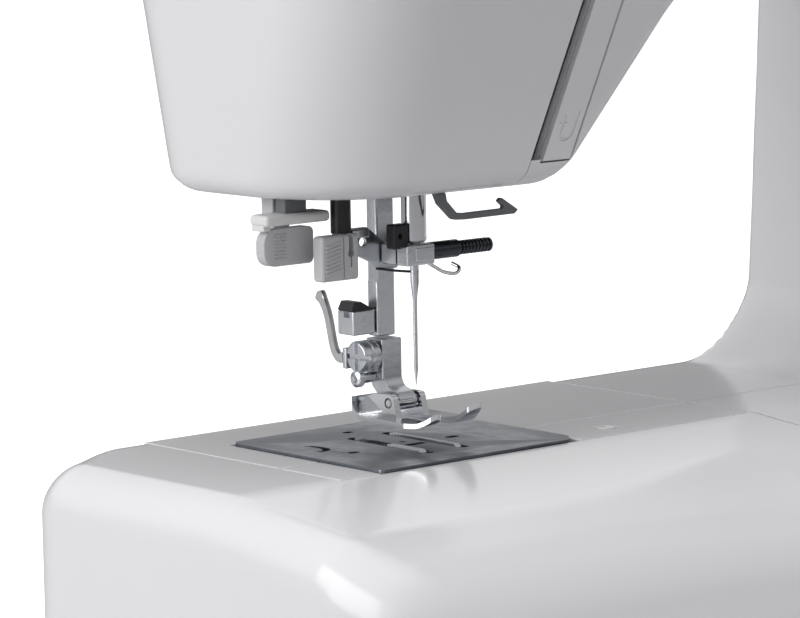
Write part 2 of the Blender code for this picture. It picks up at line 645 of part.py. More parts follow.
def make_head_fittings(shop):
    floor = shop.box("head_floor", (-33.7, -8.7, HEAD_BOTTOM + 0.3), (31.2, 32.7, HEAD_BOTTOM + 2.5), "dark")
    cut(
        floor,
        shop.rod("floor_needle", (0, 0, 55), "Z", 12, BAR_RADIUS + 0.5),
        shop.box("floor_presser", (-3.2, 9.8, 55), (3.5, 14.8, 70)),
        shop.rod("floor_threader", (-17.2, 6, 55), "Z", 12, 2.8),
        shop.box("floor_buttonhole", (-31.5, 13.2, 55), (-25.5, 18.8, 70)),
    )
    shop.box("lamp", (8, 18, 57.6), (26, 28, HEAD_BOTTOM - 0), "white", bevel=0.6)
    shop.rod("threader_rod", (-17.2, 6, 50.6), "Z", 64, 2.4, "dark")
    shop.box("threader_lever", (-25, 1.5, 39.6), (-13.4, 8.2, 50.3), "trim", bevel=0.8)
    shop.box("threader_carrier", (-13.1, 4.2, 43.4), (-6.2, 6.2, 50.8), "steel")
    lever = shop.box("buttonhole_lever", (-38, 8.6, 44.4), (-23.4, 11.6, 53.0), "trim", bevel=1.0)
    join(
        lever, shop.box("lever_arm", (-31, 10, 49), (-26, 18.4, 52.4)),
        shop.box("lever_post", (-31, 13.8, 49), (-26, 18.2, 84)),
    )
    bracket = shop.box("lever_bracket", (-39, 5, 54.6), (-20.4, 24, 59.6), "white", bevel=0.8)
    cut(bracket, shop.box("bracket_slot", (-31.5, 13.2, 50), (-25.5, 18.8, 64)))
    hook = shop.prism(
        "thread_hook",
        [(2, -10.5), (8, -14.2), (25.5, -9.4), (26, -7.6), (19, -4.6), (18.6, -6), (22, -8.3), (10, -11.4),
         (5, -8.4)],
        "XY", 54.2, 55.4, "trim",
    )
    join(hook, shop.box("hook_stem", (2.6, -10.4, 54.6), (5.2, -8.6, 59.7)))


def make_levers(shop):
    y, z = LIFTER_PIVOT
    blade = [(-3, -5), (3, -5), (26, 7), (25, 12), (2, 5), (-3, 5)]
    blade = [(y + back, z + up) for back, up in blade]
    shop.prism("presser_lifter", blade, "YZ", 24, 30, "dark", origin=(0, y, z))
    y, z = TAKE_UP_PIVOT
    eye_y = y - TAKE_UP_REACH * math.cos(math.radians(TAKE_UP_ANGLE))
    eye_z = z + TAKE_UP_REACH * math.sin(math.radians(TAKE_UP_ANGLE))
    blade = [(y + 3, z + 3.6), (y - 3.4, z - 2.6), (eye_y - 3, eye_z - 1), (eye_y - 1, eye_z + 3)]
    lever = shop.prism("take_up_lever", blade, "YZ", 20.5, 22.8, "steel", origin=(0, y, z))
    join(lever, shop.rod("lever_hub", (20.5, y, z), "X", 6, 5))


def make_drive(shop):
    length = SHAFT_RIGHT - SHAFT_LEFT
    shaft = shop.rod("main_shaft", (SHAFT_LEFT, 0, SHAFT_Z), "X", length, SHAFT_RADIUS, "steel")
    join(
        shaft,
        shop.rod("crank_disc", (SHAFT_LEFT - 0.6, 0, SHAFT_Z), "X", 4, CRANK_RADIUS + 3.5, sides=32),
        shop.rod("crank_pin", (9, 0, SHAFT_Z + CRANK_RADIUS), "X", 5, 3, sides=16),
        shop.rod("timing_pulley", (TIMING_X[0], 0, SHAFT_Z), "X", 9, TIMING_RADIUS, sides=32),
        shop.rod("drive_pulley", (DRIVE_X[0], 0, SHAFT_Z), "X", 10, DRIVE_RADIUS, sides=36),
    )
    wheel = shop.turned(
        "handwheel",
        [
            (0, 24), (22, 24), (30, 21), (WHEEL_RADIUS, 16), (WHEEL_RADIUS, 6), (30, 2), (10, 2), (9, 0),
            (0, 0),
        ],
        "X", (WHEEL_X[0], 0, SHAFT_Z), "shell", steps=36,
    )
    bore_start = BED_RIGHT - 4
    bore_length = SHAFT_RIGHT + 0.4 - bore_start
    cut(wheel, shop.rod("wheel_bore", (bore_start, 0, SHAFT_Z), "X", bore_length, SHAFT_RADIUS + GAP))
    lower = shop.rod("lower_shaft", (9, LOWER_Y, LOWER_Z), "X", 229, 4, "steel")
    join(
        lower,
        shop.rod("lower_gear", (8, LOWER_Y, LOWER_Z), "X", 8, 6, tip_radius=11),
        shop.rod("lower_pulley", (TIMING_X[0], LOWER_Y, LOWER_Z), "X", 9, TIMING_RADIUS, sides=32),
    )
    belts = (
        ("timing_belt", TIMING_X, (LOWER_Y, LOWER_Z), TIMING_RADIUS, TIMING_RADIUS),
        ("motor_belt", DRIVE_X, (MOTOR_Y, MOTOR_Z), DRIVE_RADIUS, MOTOR_PULLEY_RADIUS),
    )
    for name, (left, right), low, top_radius, low_radius in belts:
        rings = [
            belt_ring((0, SHAFT_Z), top_radius + out, low, low_radius + out)
            for out in (BELT_CLEAR + BELT_THICK, BELT_CLEAR)
        ]
        shop.prism(name, rings[0], "YZ", left + 1, right - 1, "rubber", holes=[rings[1]])
    shop.rod("motor", (165, MOTOR_Y, MOTOR_Z), "X", 63, MOTOR_RADIUS, "iron", sides=32)
    pulley = shop.rod("motor_pulley", (228.4, MOTOR_Y, MOTOR_Z), "X", 33, 2.5, "steel", sides=16)
    join(pulley, shop.rod("pulley_rim", (DRIVE_X[0], MOTOR_Y, MOTOR_Z), "X", 10, MOTOR_PULLEY_RADIUS))


def make_hook(shop):
    centre = (0, 0, HOOK_Z)
    hook = shop.turned(
        "shuttle_hook",
        [(0, 40), (4, 40), (4, 14), (HOOK_RADIUS, 14), (HOOK_RADIUS, 3), (HOOK_RADIUS - 2.5, 3),
         (HOOK_RADIUS - 2.5, 11), (0, 11)],
        "Y", centre, "steel",
    )
    cut(hook, shop.box("hook_gap", (-30, 2, HOOK_Z - 30), (-4, 9, HOOK_Z)))
    shop.turned(
        "bobbin_case",
        [(0, -2.2 - 11.6), (CASE_RADIUS - 1.5, -2.2 - 11.6), (CASE_RADIUS - 1.5, -2.2), (CASE_RADIUS, -2.2),
         (CASE_RADIUS, -16), (0, -16)],
        "Y", centre, "steel",
    )
    shop.turned(
        "bobbin",
        [
            (3, -3.4), (10.2, -3.4), (10.2, -4.2), (4, -4.2), (4, -12.4), (10.2, -12.4), (10.2, -13.2),
            (3, -13.2), (3, -3.4),
        ],
        "Y", centre, "steel",
    )


def make_controls(shop):
    front = BODY_FRONT - GAP
    for name, x, z, radius, depth in (
        ("stitch_dial", 215, 150, 22, 12), ("length_dial", 262, 96, 12, 10), ("tension_dial", 78, 176, 13, 9),
    ):
        dial = shop.rod(name, (x, front, z), "-Y", depth, radius, "trim", sides=32, tip_radius=radius - 1.5)
        face = front - depth
        mark_low, mark_high = (x - 0.8, face - 1, z + radius * 0.4), (x + 0.8, face + 0.8, z + radius)
        cut(dial, shop.box(name + "_mark", mark_low, mark_high))
    shop.rod("reverse_button", (REVERSE[0], BODY_FRONT + 5, REVERSE[1]), "-Y", 11, REVERSE_RADIUS, "trim")
    spool = shop.rod("spool_pin", (*SPOOL, 152), "Z", 68, PIN_RADIUS, "white", sides=16)
    join(spool, shop.rod("spool_cap", (*SPOOL, BODY_TOP + 1), "Z", 2, 2 * PIN_RADIUS))
    winder = shop.rod("winder_spindle", (*WINDER, 198), "Z", 22, PIN_RADIUS, "white", sides=16)
    join(winder, shop.rod("winder_flange", (*WINDER, BODY_TOP + 1), "Z", 2, 2 * PIN_RADIUS + 1))
    make_handle(shop)
    panel_block(shop, "thread_guide_panel", 1.5, 0, "shell")


def make_handle(shop):
    """A U-shaped bar that lies on the arm, hinged at its two back ends."""
    z = BODY_TOP + HANDLE_RADIUS + 1.2
    middle = (HANDLE_LEFT + HANDLE_RIGHT) / 2
    bend = [(0, 7), (2, 2), (7, 0)]         # from the side bar to the front bar: (inwards, backwards)
    left = [(HANDLE_LEFT + inwards, HANDLE_FRONT + back, z) for inwards, back in bend]
    right = [(HANDLE_RIGHT - inwards, HANDLE_FRONT + back, z) for inwards, back in reversed(bend)]
    ends = [(HANDLE_LEFT, HANDLE_BACK, z)], [(HANDLE_RIGHT, HANDLE_BACK, z)]
    points = ends[0] + left + right + ends[1]
    shop.wire("carry_handle", points, HANDLE_RADIUS, "shell", (middle, HANDLE_BACK, z))


def main():
    clear_scene()
    shop = Workshop()
    for make in (
        make_casings, make_base, make_free_arm, make_extension_table, make_plate, make_needle_group,
        make_presser_group, make_head_fittings, make_levers, make_drive, make_hook, make_controls,
    ):
        make(shop)


main()
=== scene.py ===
"""Looks for a domestic free-arm sewing machine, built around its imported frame.

Lengths are millimetres measured from the needle's axis at the level of the needle plate's top:
+X towards the handwheel, +Y to the back, +Z up. settle_piece() turns a finished mesh into metres.
"""

import math

import bmesh
import bpy
import numpy as np
from mathutils import Matrix, Vector


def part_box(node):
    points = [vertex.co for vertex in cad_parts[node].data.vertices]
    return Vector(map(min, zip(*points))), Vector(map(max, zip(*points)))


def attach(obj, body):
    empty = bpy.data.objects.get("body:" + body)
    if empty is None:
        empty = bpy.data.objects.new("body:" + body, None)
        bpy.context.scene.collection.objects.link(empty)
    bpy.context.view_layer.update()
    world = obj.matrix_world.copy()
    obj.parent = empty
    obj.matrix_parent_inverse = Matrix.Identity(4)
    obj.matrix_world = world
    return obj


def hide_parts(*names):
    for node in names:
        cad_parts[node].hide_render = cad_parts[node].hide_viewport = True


bl_info = {
    "name": "Sewing machine looks",
    "version": (1, 0, 0),
    "blender": (4, 5, 0),
    "location": "3D View > Sidebar > Sewing",
    "description": "Builds the visible pieces of a free-arm sewing machine on its frame",
    "category": "Object",
}

MM = 0.001
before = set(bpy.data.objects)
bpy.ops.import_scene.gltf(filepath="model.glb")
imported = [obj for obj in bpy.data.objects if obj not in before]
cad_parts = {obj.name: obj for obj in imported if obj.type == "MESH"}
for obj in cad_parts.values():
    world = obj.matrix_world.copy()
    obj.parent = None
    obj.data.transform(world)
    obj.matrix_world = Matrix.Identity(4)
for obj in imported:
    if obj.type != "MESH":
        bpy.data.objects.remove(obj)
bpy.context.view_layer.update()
NEEDLE_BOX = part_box("needle")
PLATE_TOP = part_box("needle_plate")[1].z
ORIGIN = Vector(((NEEDLE_BOX[0].x + NEEDLE_BOX[1].x) / 2, (NEEDLE_BOX[0].y + NEEDLE_BOX[1].y) / 2,
                 PLATE_TOP))


def limits(node):
    """A frame node's lowest and highest corners in millimetres from the needle."""
    low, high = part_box(node)
    return (low - ORIGIN) / MM, (high - ORIGIN) / MM


# ---------------------------------------------------------------- driving sizes
GAP = 0.3
BED_TOP = limits("free_arm_cover")[1].z
BED_LEFT, BED_FRONT = limits("extension_table")[0].xy
BODY_RIGHT, BODY_BACK, BODY_TOP = limits("rear_casing")[1]
BED_BOTTOM = limits("rear_casing")[0].z
TABLE_BOTTOM = limits("extension_table")[0].z
TABLE_RIGHT = limits("extension_table")[1].x
CASING_LEFT = limits("free_arm_shell")[1].x + GAP
BODY_FRONT, HEAD_FRONT, HEAD_BOTTOM = -46.0, -16.0, limits("face_cover")[0].z
FACE_SLOPE = 0.48                       # the lower head leans forward by this much for each mm of height
HEAD_LEFT, SIDE_SLOPE, HEAD_WIDEST = -40.0, 0.17, limits("face_cover")[0].x
HEAD_RIGHT, THROAT_SLOPE, THROAT_TOP = 34.0, 0.43, 122.0
COLUMN_LEFT, COLUMN_LEAN = 163.0, 0.057
COVER_RIGHT = limits("face_cover")[1].x
CASING_WALL = 3.0
NET_STEP = 2.0                          # spacing of the casing mesh
FRONT_SLOPE_START, STYLE_LINE = -22.0, -60.0


# ---------------------------------------------------------------- materials
def group_sockets(tree, ins, outs):
    for name, kind, value in ins:
        socket = tree.interface.new_socket(name, in_out="INPUT", socket_type=kind)
        if value is not None:
            socket.default_value = value
    for name, kind in outs:
        tree.interface.new_socket(name, in_out="OUTPUT", socket_type=kind)
    return tree.nodes.new("NodeGroupInput"), tree.nodes.new("NodeGroupOutput")


def math_node(tree, operation, *values):
    node = tree.nodes.new("ShaderNodeMath")
    node.operation = operation
    for index, value in enumerate(values):
        if isinstance(value, (int, float)):
            node.inputs[index].default_value = value
        else:
            tree.links.new(value, node.inputs[index])
    return node.outputs[0]


def noise_node(tree, vector, scale, detail=3.0, roughness=0.5):
    node = tree.nodes.new("ShaderNodeTexNoise")
    node.inputs["Detail"].default_value = detail
    node.inputs["Roughness"].default_value = roughness
    if isinstance(scale, (int, float)):
        node.inputs["Scale"].default_value = scale
    else:
        tree.links.new(scale, node.inputs["Scale"])
    tree.links.new(vector, node.inputs["Vector"])
    return node.outputs["Fac"]


def make_grain_group():
    """Fine grain and broad smudges over a surface, from the object's own coordinates."""
    tree = bpy.data.node_groups.new("surface_grain", "ShaderNodeTree")
    source, result = group_sockets(
        tree,
        [
            ("Vector", "NodeSocketVector", None), ("Grain Scale", "NodeSocketFloat", 900.0),
            ("Smudge Scale", "NodeSocketFloat", 14.0), ("Roughness", "NodeSocketFloat", 0.3),
            ("Spread", "NodeSocketFloat", 0.08),
        ],
        [("Height", "NodeSocketFloat"), ("Roughness", "NodeSocketFloat"), ("Smudge", "NodeSocketFloat")],
    )
    vector = source.outputs["Vector"]
    grain = noise_node(tree, vector, source.outputs["Grain Scale"], 2.0)
    smudge = noise_node(tree, vector, source.outputs["Smudge Scale"], 5.0, 0.62)
    centred = math_node(tree, "SUBTRACT", smudge, 0.5)
    spread = math_node(tree, "MULTIPLY", centred, source.outputs["Spread"])
    tree.links.new(grain, result.inputs["Height"])
    tree.links.new(math_node(tree, "ADD", source.outputs["Roughness"], spread), result.inputs["Roughness"])
    tree.links.new(smudge, result.inputs["Smudge"])
    return tree


def make_brush_group():
    """Fine parallel scratches, as grinding leaves them, along one axis of the object."""
    tree = bpy.data.node_groups.new("brushed_lines", "ShaderNodeTree")
    source, result = group_sockets(
        tree,
        [("Vector", "NodeSocketVector", None), ("Stretch", "NodeSocketVector", (60.0, 2500.0, 2500.0))],
        [("Height", "NodeSocketFloat")],
    )
    scaled = tree.nodes.new("ShaderNodeVectorMath")
    scaled.operation = "MULTIPLY"
    tree.links.new(source.outputs["Vector"], scaled.inputs[0])
    tree.links.new(source.outputs["Stretch"], scaled.inputs[1])
    tree.links.new(noise_node(tree, scaled.outputs[0], 1.0, 4.0, 0.6), result.inputs["Height"])
    return tree


def make_wear_group():
    """How far an edge is rubbed: bright along convex edges, broken up by noise."""
    tree = bpy.data.node_groups.new("edge_wear", "ShaderNodeTree")
    source, result = group_sockets(
        tree,
        [("Vector", "NodeSocketVector", None), ("Amount", "NodeSocketFloat", 0.5)],
        [("Mask", "NodeSocketFloat")],
    )
    geometry = tree.nodes.new("ShaderNodeNewGeometry")
    ramp = tree.nodes.new("ShaderNodeMapRange")
    ramp.inputs["From Min"].default_value = 0.52
    ramp.inputs["From Max"].default_value = 0.62
    tree.links.new(geometry.outputs["Pointiness"], ramp.inputs["Value"])
    patches = noise_node(tree, source.outputs["Vector"], 220.0, 4.0)
    broken = math_node(tree, "MULTIPLY", ramp.outputs["Result"], patches)
    tree.links.new(math_node(tree, "MULTIPLY", broken, source.outputs["Amount"]), result.inputs["Mask"])
    return tree


class Finishes:
    """Makes each material once. Every one has grain, smudges and worn edges of its own size."""

    def __init__(self):
        self.made = {}
        self.grain = make_grain_group()
        self.brush = make_brush_group()
        self.wear = make_wear_group()

    def get(self, name):
        if name not in self.made:
            values = dict(FINISHES[name])
            if name in COLOUR_OF:
                values["colour"] = tuple(getattr(bpy.context.scene.sewing_colours, COLOUR_OF[name]))
            self.made[name] = self.build(name, **values)
        return self.made[name]

    def place_group(self, tree, group, values):
        node = tree.nodes.new("ShaderNodeGroup")
        node.node_tree = group
        for key, value in values.items():
            node.inputs[key].default_value = value
        coordinates = tree.nodes.new("ShaderNodeTexCoord")
        tree.links.new(coordinates.outputs["Object"], node.inputs["Vector"])
        return node

    def build(self, name, colour, rough, metal=0.0, coat=0.0, spread=0.06, grain=900.0, bump=0.02,
              tint=0.05, wear=0.2, worn=None, brushed=None, brush_bump=0.1, specular=0.5, depth=0.0004):
        material = bpy.data.materials.new(name)
        material.use_nodes = True
        tree = material.node_tree
        shader = tree.nodes["Principled BSDF"]
        grained = self.place_group(tree, self.grain, {"Grain Scale": grain, "Roughness": rough,
                                                      "Spread": spread})
        worn_edges = self.place_group(tree, self.wear, {"Amount": wear})
        shade = tree.nodes.new("ShaderNodeMix")
        shade.data_type = "RGBA"
        tree.links.new(grained.outputs["Smudge"], shade.inputs["Factor"])
        shade.inputs[6].default_value = (*[c * (1 - tint) for c in colour], 1)
        shade.inputs[7].default_value = (*[min(1.0, c * (1 + tint)) for c in colour], 1)
        edge = tree.nodes.new("ShaderNodeMix")
        edge.data_type = "RGBA"
        tree.links.new(worn_edges.outputs["Mask"], edge.inputs["Factor"])
        tree.links.new(shade.outputs[2], edge.inputs[6])
        edge.inputs[7].default_value = (*(worn or [min(1.0, c * 1.25) for c in colour]), 1)
        tree.links.new(edge.outputs[2], shader.inputs["Base Color"])
        tree.links.new(grained.outputs["Roughness"], shader.inputs["Roughness"])
        shader.inputs["Metallic"].default_value = metal
        shader.inputs["Coat Weight"].default_value = coat
        shader.inputs["Coat Roughness"].default_value = 0.1
        shader.inputs["Specular IOR Level"].default_value = specular
        height = math_node(tree, "MULTIPLY", grained.outputs["Height"], bump)
        if brushed:
            lines = self.place_group(tree, self.brush, {"Stretch": brushed})
            height = math_node(tree, "ADD", height, math_node(tree, "MULTIPLY", lines.outputs["Height"],
                                                              brush_bump))
        bumped = tree.nodes.new("ShaderNodeBump")
        bumped.inputs["Strength"].default_value = 1.0
        bumped.inputs["Distance"].default_value = depth
        tree.links.new(height, bumped.inputs["Height"])
        tree.links.new(bumped.outputs["Normal"], shader.inputs["Normal"])
        return material


FINISHES = {
    "gloss_shell": {"colour": (0.80, 0.797, 0.818), "rough": 0.18, "spread": 0.05, "coat": 0.35,
                    "bump": 0.006,
                    "tint": 0.012, "wear": 0.1},
    "satin_white": {"colour": (0.78, 0.78, 0.78), "rough": 0.34, "bump": 0.05, "tint": 0.02},
    "grey_trim": {"colour": (0.56, 0.56, 0.575), "rough": 0.42, "bump": 0.09, "tint": 0.04},
    "hook_grey": {"colour": (0.16, 0.165, 0.175), "rough": 0.45, "bump": 0.09, "tint": 0.06},
    "black_plastic": {"colour": (0.018, 0.019, 0.021), "rough": 0.36, "bump": 0.06, "tint": 0.1},
    "gunmetal": {"colour": (0.06, 0.065, 0.075), "rough": 0.24, "metal": 0.85, "bump": 0.02,
                 "brushed": (2500.0, 2500.0, 90.0), "brush_bump": 0.05},
    "chrome": {"colour": (0.82, 0.83, 0.86), "rough": 0.13, "metal": 1.0, "spread": 0.08, "bump": 0.02,
               "wear": 0.3,
               "brushed": (300.0, 300.0, 1800.0), "brush_bump": 0.015},
    "plated_steel": {"colour": (0.70, 0.72, 0.76), "rough": 0.27, "metal": 1.0, "spread": 0.16,
                     "bump": 0.12,
                     "grain": 700.0, "tint": 0.1, "wear": 0.6, "worn": (0.78, 0.79, 0.8)},
    "plate_steel": {"colour": (0.125, 0.14, 0.165), "rough": 0.34, "metal": 1.0, "spread": 0.08,
                    "bump": 0.03,
                    "tint": 0.06, "brushed": (60.0, 2600.0, 2600.0), "brush_bump": 0.12, "wear": 0.9,
                    "worn": (0.62, 0.64, 0.67)},
    "cast_iron": {"colour": (0.20, 0.205, 0.21), "rough": 0.5, "metal": 0.9, "bump": 0.25, "grain": 500.0,
                  "tint": 0.1},
    "rubber": {"colour": (0.022, 0.022, 0.022), "rough": 0.8, "bump": 0.2, "tint": 0.15, "specular": 0.3},
    "satin_steel": {"colour": (0.62, 0.62, 0.63), "rough": 0.36, "metal": 0.9, "spread": 0.1, "bump": 0.1,
                    "grain": 1200.0, "tint": 0.06, "wear": 0.4},
    "lamp_lens": {"colour": (0.86, 0.85, 0.80), "rough": 0.25, "bump": 0.05, "tint": 0.02},
    "mark_grey": {"colour": (0.16, 0.165, 0.175), "rough": 0.4, "bump": 0.02, "tint": 0.02},
}
# The colour in SewingColours that each of these finishes takes.
COLOUR_OF = {
    "gloss_shell": "shell", "satin_white": "white_trim", "grey_trim": "grey_trim", "hook_grey": "dark_trim",
    "plate_steel": "needle_plate",
}
SHARED = {}


def finish(name):
    return SHARED["finishes"].get(name)


# ---------------------------------------------------------------- mesh making
AXES = {
    "Z": Matrix.Identity(3), "X": Matrix.Rotation(math.pi / 2, 3, "Y"),
    "-X": Matrix.Rotation(-math.pi / 2, 3, "Y"),
    "Y": Matrix.Rotation(-math.pi / 2, 3, "X"), "-Y": Matrix.Rotation(math.pi / 2, 3, "X"),
    "-Z": Matrix.Rotation(math.pi, 3, "X"),
}
PLANES = {
    "XY": Matrix.Identity(4),
    "XZ": Matrix(((1, 0, 0, 0), (0, 0, 1, 0), (0, 1, 0, 0), (0, 0, 0, 1))),
    "YZ": Matrix(((0, 0, 1, 0), (1, 0, 0, 0), (0, 1, 0, 0), (0, 0, 0, 1))),
}


def solid(bm):
    """A helper object, in millimetres, for a finished bmesh."""
    mesh = bpy.data.meshes.new("solid")
    bm.to_mesh(mesh)
    bm.free()
    obj = bpy.data.objects.new("solid", mesh)
    bpy.context.scene.collection.objects.link(obj)
    return obj


def block(low, high, bevel=0.0, segments=3):
    low, high = Vector(low), Vector(high)
    bm = bmesh.new()
    bmesh.ops.create_cube(bm, size=1.0)
    bmesh.ops.scale(bm, vec=high - low, verts=bm.verts)
    bmesh.ops.translate(bm, vec=(low + high) / 2, verts=bm.verts)
    if bevel:
        bmesh.ops.bevel(bm, geom=bm.edges, offset=bevel, segments=segments, profile=0.5, affect="EDGES")
    return solid(bm)


def prism(outline, plane, start, end):
    """A flat outline between two heights along a plane's normal."""
    bm = bmesh.new()
    face = bm.faces.new([bm.verts.new((u, v, start)) for u, v in outline])
    grown = bmesh.ops.extrude_face_region(bm, geom=[face])
    moved = [item for item in grown["geom"] if isinstance(item, bmesh.types.BMVert)]
    bmesh.ops.translate(bm, vec=(0, 0, end - start), verts=moved)
    bmesh.ops.transform(bm, matrix=PLANES[plane], verts=bm.verts)
    bmesh.ops.recalc_face_normals(bm, faces=bm.faces)
    return solid(bm)


def turned(profile, axis, origin, steps=64):
    """A profile of (radius, height) points turned about an axis letter through origin."""
    bm = bmesh.new()
    rings = []
    for radius, height in profile:
        if radius < 1e-6:
            rings.append([bm.verts.new((0, 0, height))])
            continue
        angles = [2 * math.pi * i / steps for i in range(steps)]
        rings.append([bm.verts.new((radius * math.cos(a), radius * math.sin(a), height)) for a in angles])
    for one, other in zip(rings, rings[1:]):
        for i in range(steps):
            j = (i + 1) % steps
            corners = [one[i % len(one)], one[j % len(one)], other[j % len(other)], other[i % len(other)]]
            corners = list(dict.fromkeys(corners))
            if len(corners) > 2:
                bm.faces.new(corners)
    for ring in (rings[0], rings[-1]):
        if len(ring) > 1 and len([f for f in ring[0].link_faces]) < 4:
            bm.faces.new(ring)
    bmesh.ops.recalc_face_normals(bm, faces=bm.faces)
    turn = Matrix.Translation(Vector(origin)) @ AXES[axis].to_4x4()
    bmesh.ops.transform(bm, matrix=turn, verts=bm.verts)
    return solid(bm)


def rod(start, axis, length, radius, steps=48, rim=0.2):
    """A round bar with small chamfers at both ends."""
    profile = [(0, 0), (radius - rim, 0), (radius, rim), (radius, length - rim), (radius - rim, length),
               (0, length)]
    return turned(profile, axis, start, steps)


def smooth_path(points, steps=8):
    """A smooth curve through points."""
    pts = [Vector(p) for p in points]
    pts = [2 * pts[0] - pts[1], *pts, 2 * pts[-1] - pts[-2]]
    path = []
    for a, b, c, d in zip(pts, pts[1:], pts[2:], pts[3:]):
        for i in range(steps):
            t = i / steps
            path.append(0.5 * (2 * b + (c - a) * t + (2 * a - 5 * b + 4 * c - d) * t * t
                               + (3 * b - a - 3 * c + d) * t ** 3))
    return [*path, pts[-2]]


def sweep(points, radii, sides=20, flat=1.0):
    """A round wire along points, or a strip when flat is under 1. radii: a number or a function of 0..1."""
    path = [Vector(p) for p in points]
    bm = bmesh.new()
    along = (path[1] - path[0]).normalized()
    side = along.orthogonal().normalized()
    rings = []
    for i, point in enumerate(path):
        ahead = (path[min(i + 1, len(path) - 1)] - path[max(i - 1, 0)]).normalized()
        side = (side - ahead * side.dot(ahead)).normalized()
        other = ahead.cross(side)
        radius = float(radii(i / (len(path) - 1))) if callable(radii) else radii
        ring = []
        for k in range(sides):
            angle = 2 * math.pi * k / sides
            across = side * math.cos(angle) + other * math.sin(angle) * flat
            ring.append(bm.verts.new(point + radius * across))
        rings.append(ring)
    for one, two in zip(rings, rings[1:]):
        for k in range(sides):
            bm.faces.new((one[k], one[(k + 1) % sides], two[(k + 1) % sides], two[k]))
    bm.faces.new(rings[0])
    bm.faces.new(rings[-1])
    bmesh.ops.recalc_face_normals(bm, faces=bm.faces)
    return solid(bm)


def rounded(corners, steps=8):
    """Corners (x, y, radius) as an outline with arcs."""
    points = []
    for i, (x, y, radius) in enumerate(corners):
        here = Vector((x, y))
        into = (here - Vector(corners[i - 1][:2])).normalized()
        out = (Vector(corners[(i + 1) % len(corners)][:2]) - here).normalized()
        turn = into.x * out.y - into.y * out.x
        angle = math.atan2(turn, into.dot(out))
        if radius <= 0 or abs(angle) < 1e-3:
            points.append((x, y))
            continue
        back = radius * math.tan(abs(angle) / 2)
        side = Vector((-into.y, into.x)) * math.copysign(radius, turn)
        centre = here - into * back + side
        for step in range(steps + 1):
            points.append(tuple(centre + Matrix.Rotation(angle * step / steps, 2) @ -side))
    return points


def evaluated_mesh(obj):
    graph = bpy.context.evaluated_depsgraph_get()
    return bpy.data.meshes.new_from_object(obj.evaluated_get(graph))


def drop(obj):
    mesh = obj.data
    bpy.data.objects.remove(obj)
    bpy.data.meshes.remove(mesh)


def shape_with(obj, others, operation, solver="EXACT"):
    """Applies a boolean with each of the others, which are then removed."""
    for other in others:
        modifier = obj.modifiers.new("shape", "BOOLEAN")
        modifier.operation = operation
        modifier.object = other
        modifier.solver = solver
    mesh = evaluated_mesh(obj)
    obj.modifiers.clear()
    old = obj.data
    obj.data = mesh
    bpy.data.meshes.remove(old)
    for other in others:
        drop(other)
    return obj


def carve(obj, *cutters, solver="EXACT"):
    return shape_with(obj, cutters, "DIFFERENCE", solver)


def fuse(obj, *others):
    return shape_with(obj, others, "UNION")


def trim(obj, other):
    return shape_with(obj, [other], "INTERSECT")


def gather(*objs):
    """Several solids as one object, each still its own body."""
    bm = bmesh.new()
    for obj in objs:
        bm.from_mesh(obj.data)
        drop(obj)
    return solid(bm)


def soften(obj, width, segments=3, angle=34):
    """Rounds every sharp edge and keeps the flats looking flat."""
    if width:
        bevel = obj.modifiers.new("round", "BEVEL")
        bevel.width = width
        bevel.segments = segments
        bevel.limit_method = "ANGLE"
        bevel.angle_limit = math.radians(angle)
        bevel.use_clamp_overlap = True
        mesh = evaluated_mesh(obj)
        obj.modifiers.clear()
        old = obj.data
        obj.data = mesh
        bpy.data.meshes.remove(old)
    obj.data.shade_smooth()
    obj.data.set_sharp_from_angle(angle=math.radians(44))
    weighted = obj.modifiers.new("flats", "WEIGHTED_NORMAL")
    weighted.keep_sharp = True
    mesh = evaluated_mesh(obj)
    obj.modifiers.clear()
    old = obj.data
    obj.data = mesh
    bpy.data.meshes.remove(old)
    return obj


def settle_piece(obj, name, material, body, stands_for=()):
    """Scales a piece to metres, gives it its material and sets it riding on its body."""
    if not obj.data.polygons:
        raise RuntimeError(name + " has no faces")
    obj.name = name
    obj.data.name = name
    obj.data.transform(Matrix.Translation(ORIGIN) @ Matrix.Scale(MM, 4))
    obj.data.materials.clear()
    obj.data.materials.append(finish(material))
    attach(obj, body)
    if stands_for:
        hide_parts(*stands_for)
    return obj


def piece(name, obj, material, body, stands_for=(), bevel=0.3, segments=3):
    return settle_piece(soften(obj, bevel, segments), name, material, body, stands_for)


# ---------------------------------------------------------------- the casing as one smooth field
def round_meet(a, b, radius):
    """Where two half-spaces overlap, with a rounded outer edge."""
    corner = np.hypot(np.maximum(a + radius, 0), np.maximum(b + radius, 0))
    return np.minimum(np.maximum(a, b), -radius) + corner


def round_join(a, b, radius):
    """Two shapes together, with a rounded inner corner."""
    corner = np.hypot(np.maximum(radius - a, 0), np.maximum(radius - b, 0))
    return np.maximum(np.minimum(a, b), radius) - corner


def ease(value, start, end):
    t = np.clip((value - start) / (end - start), 0, 1)
    return t * t * (3 - 2 * t)


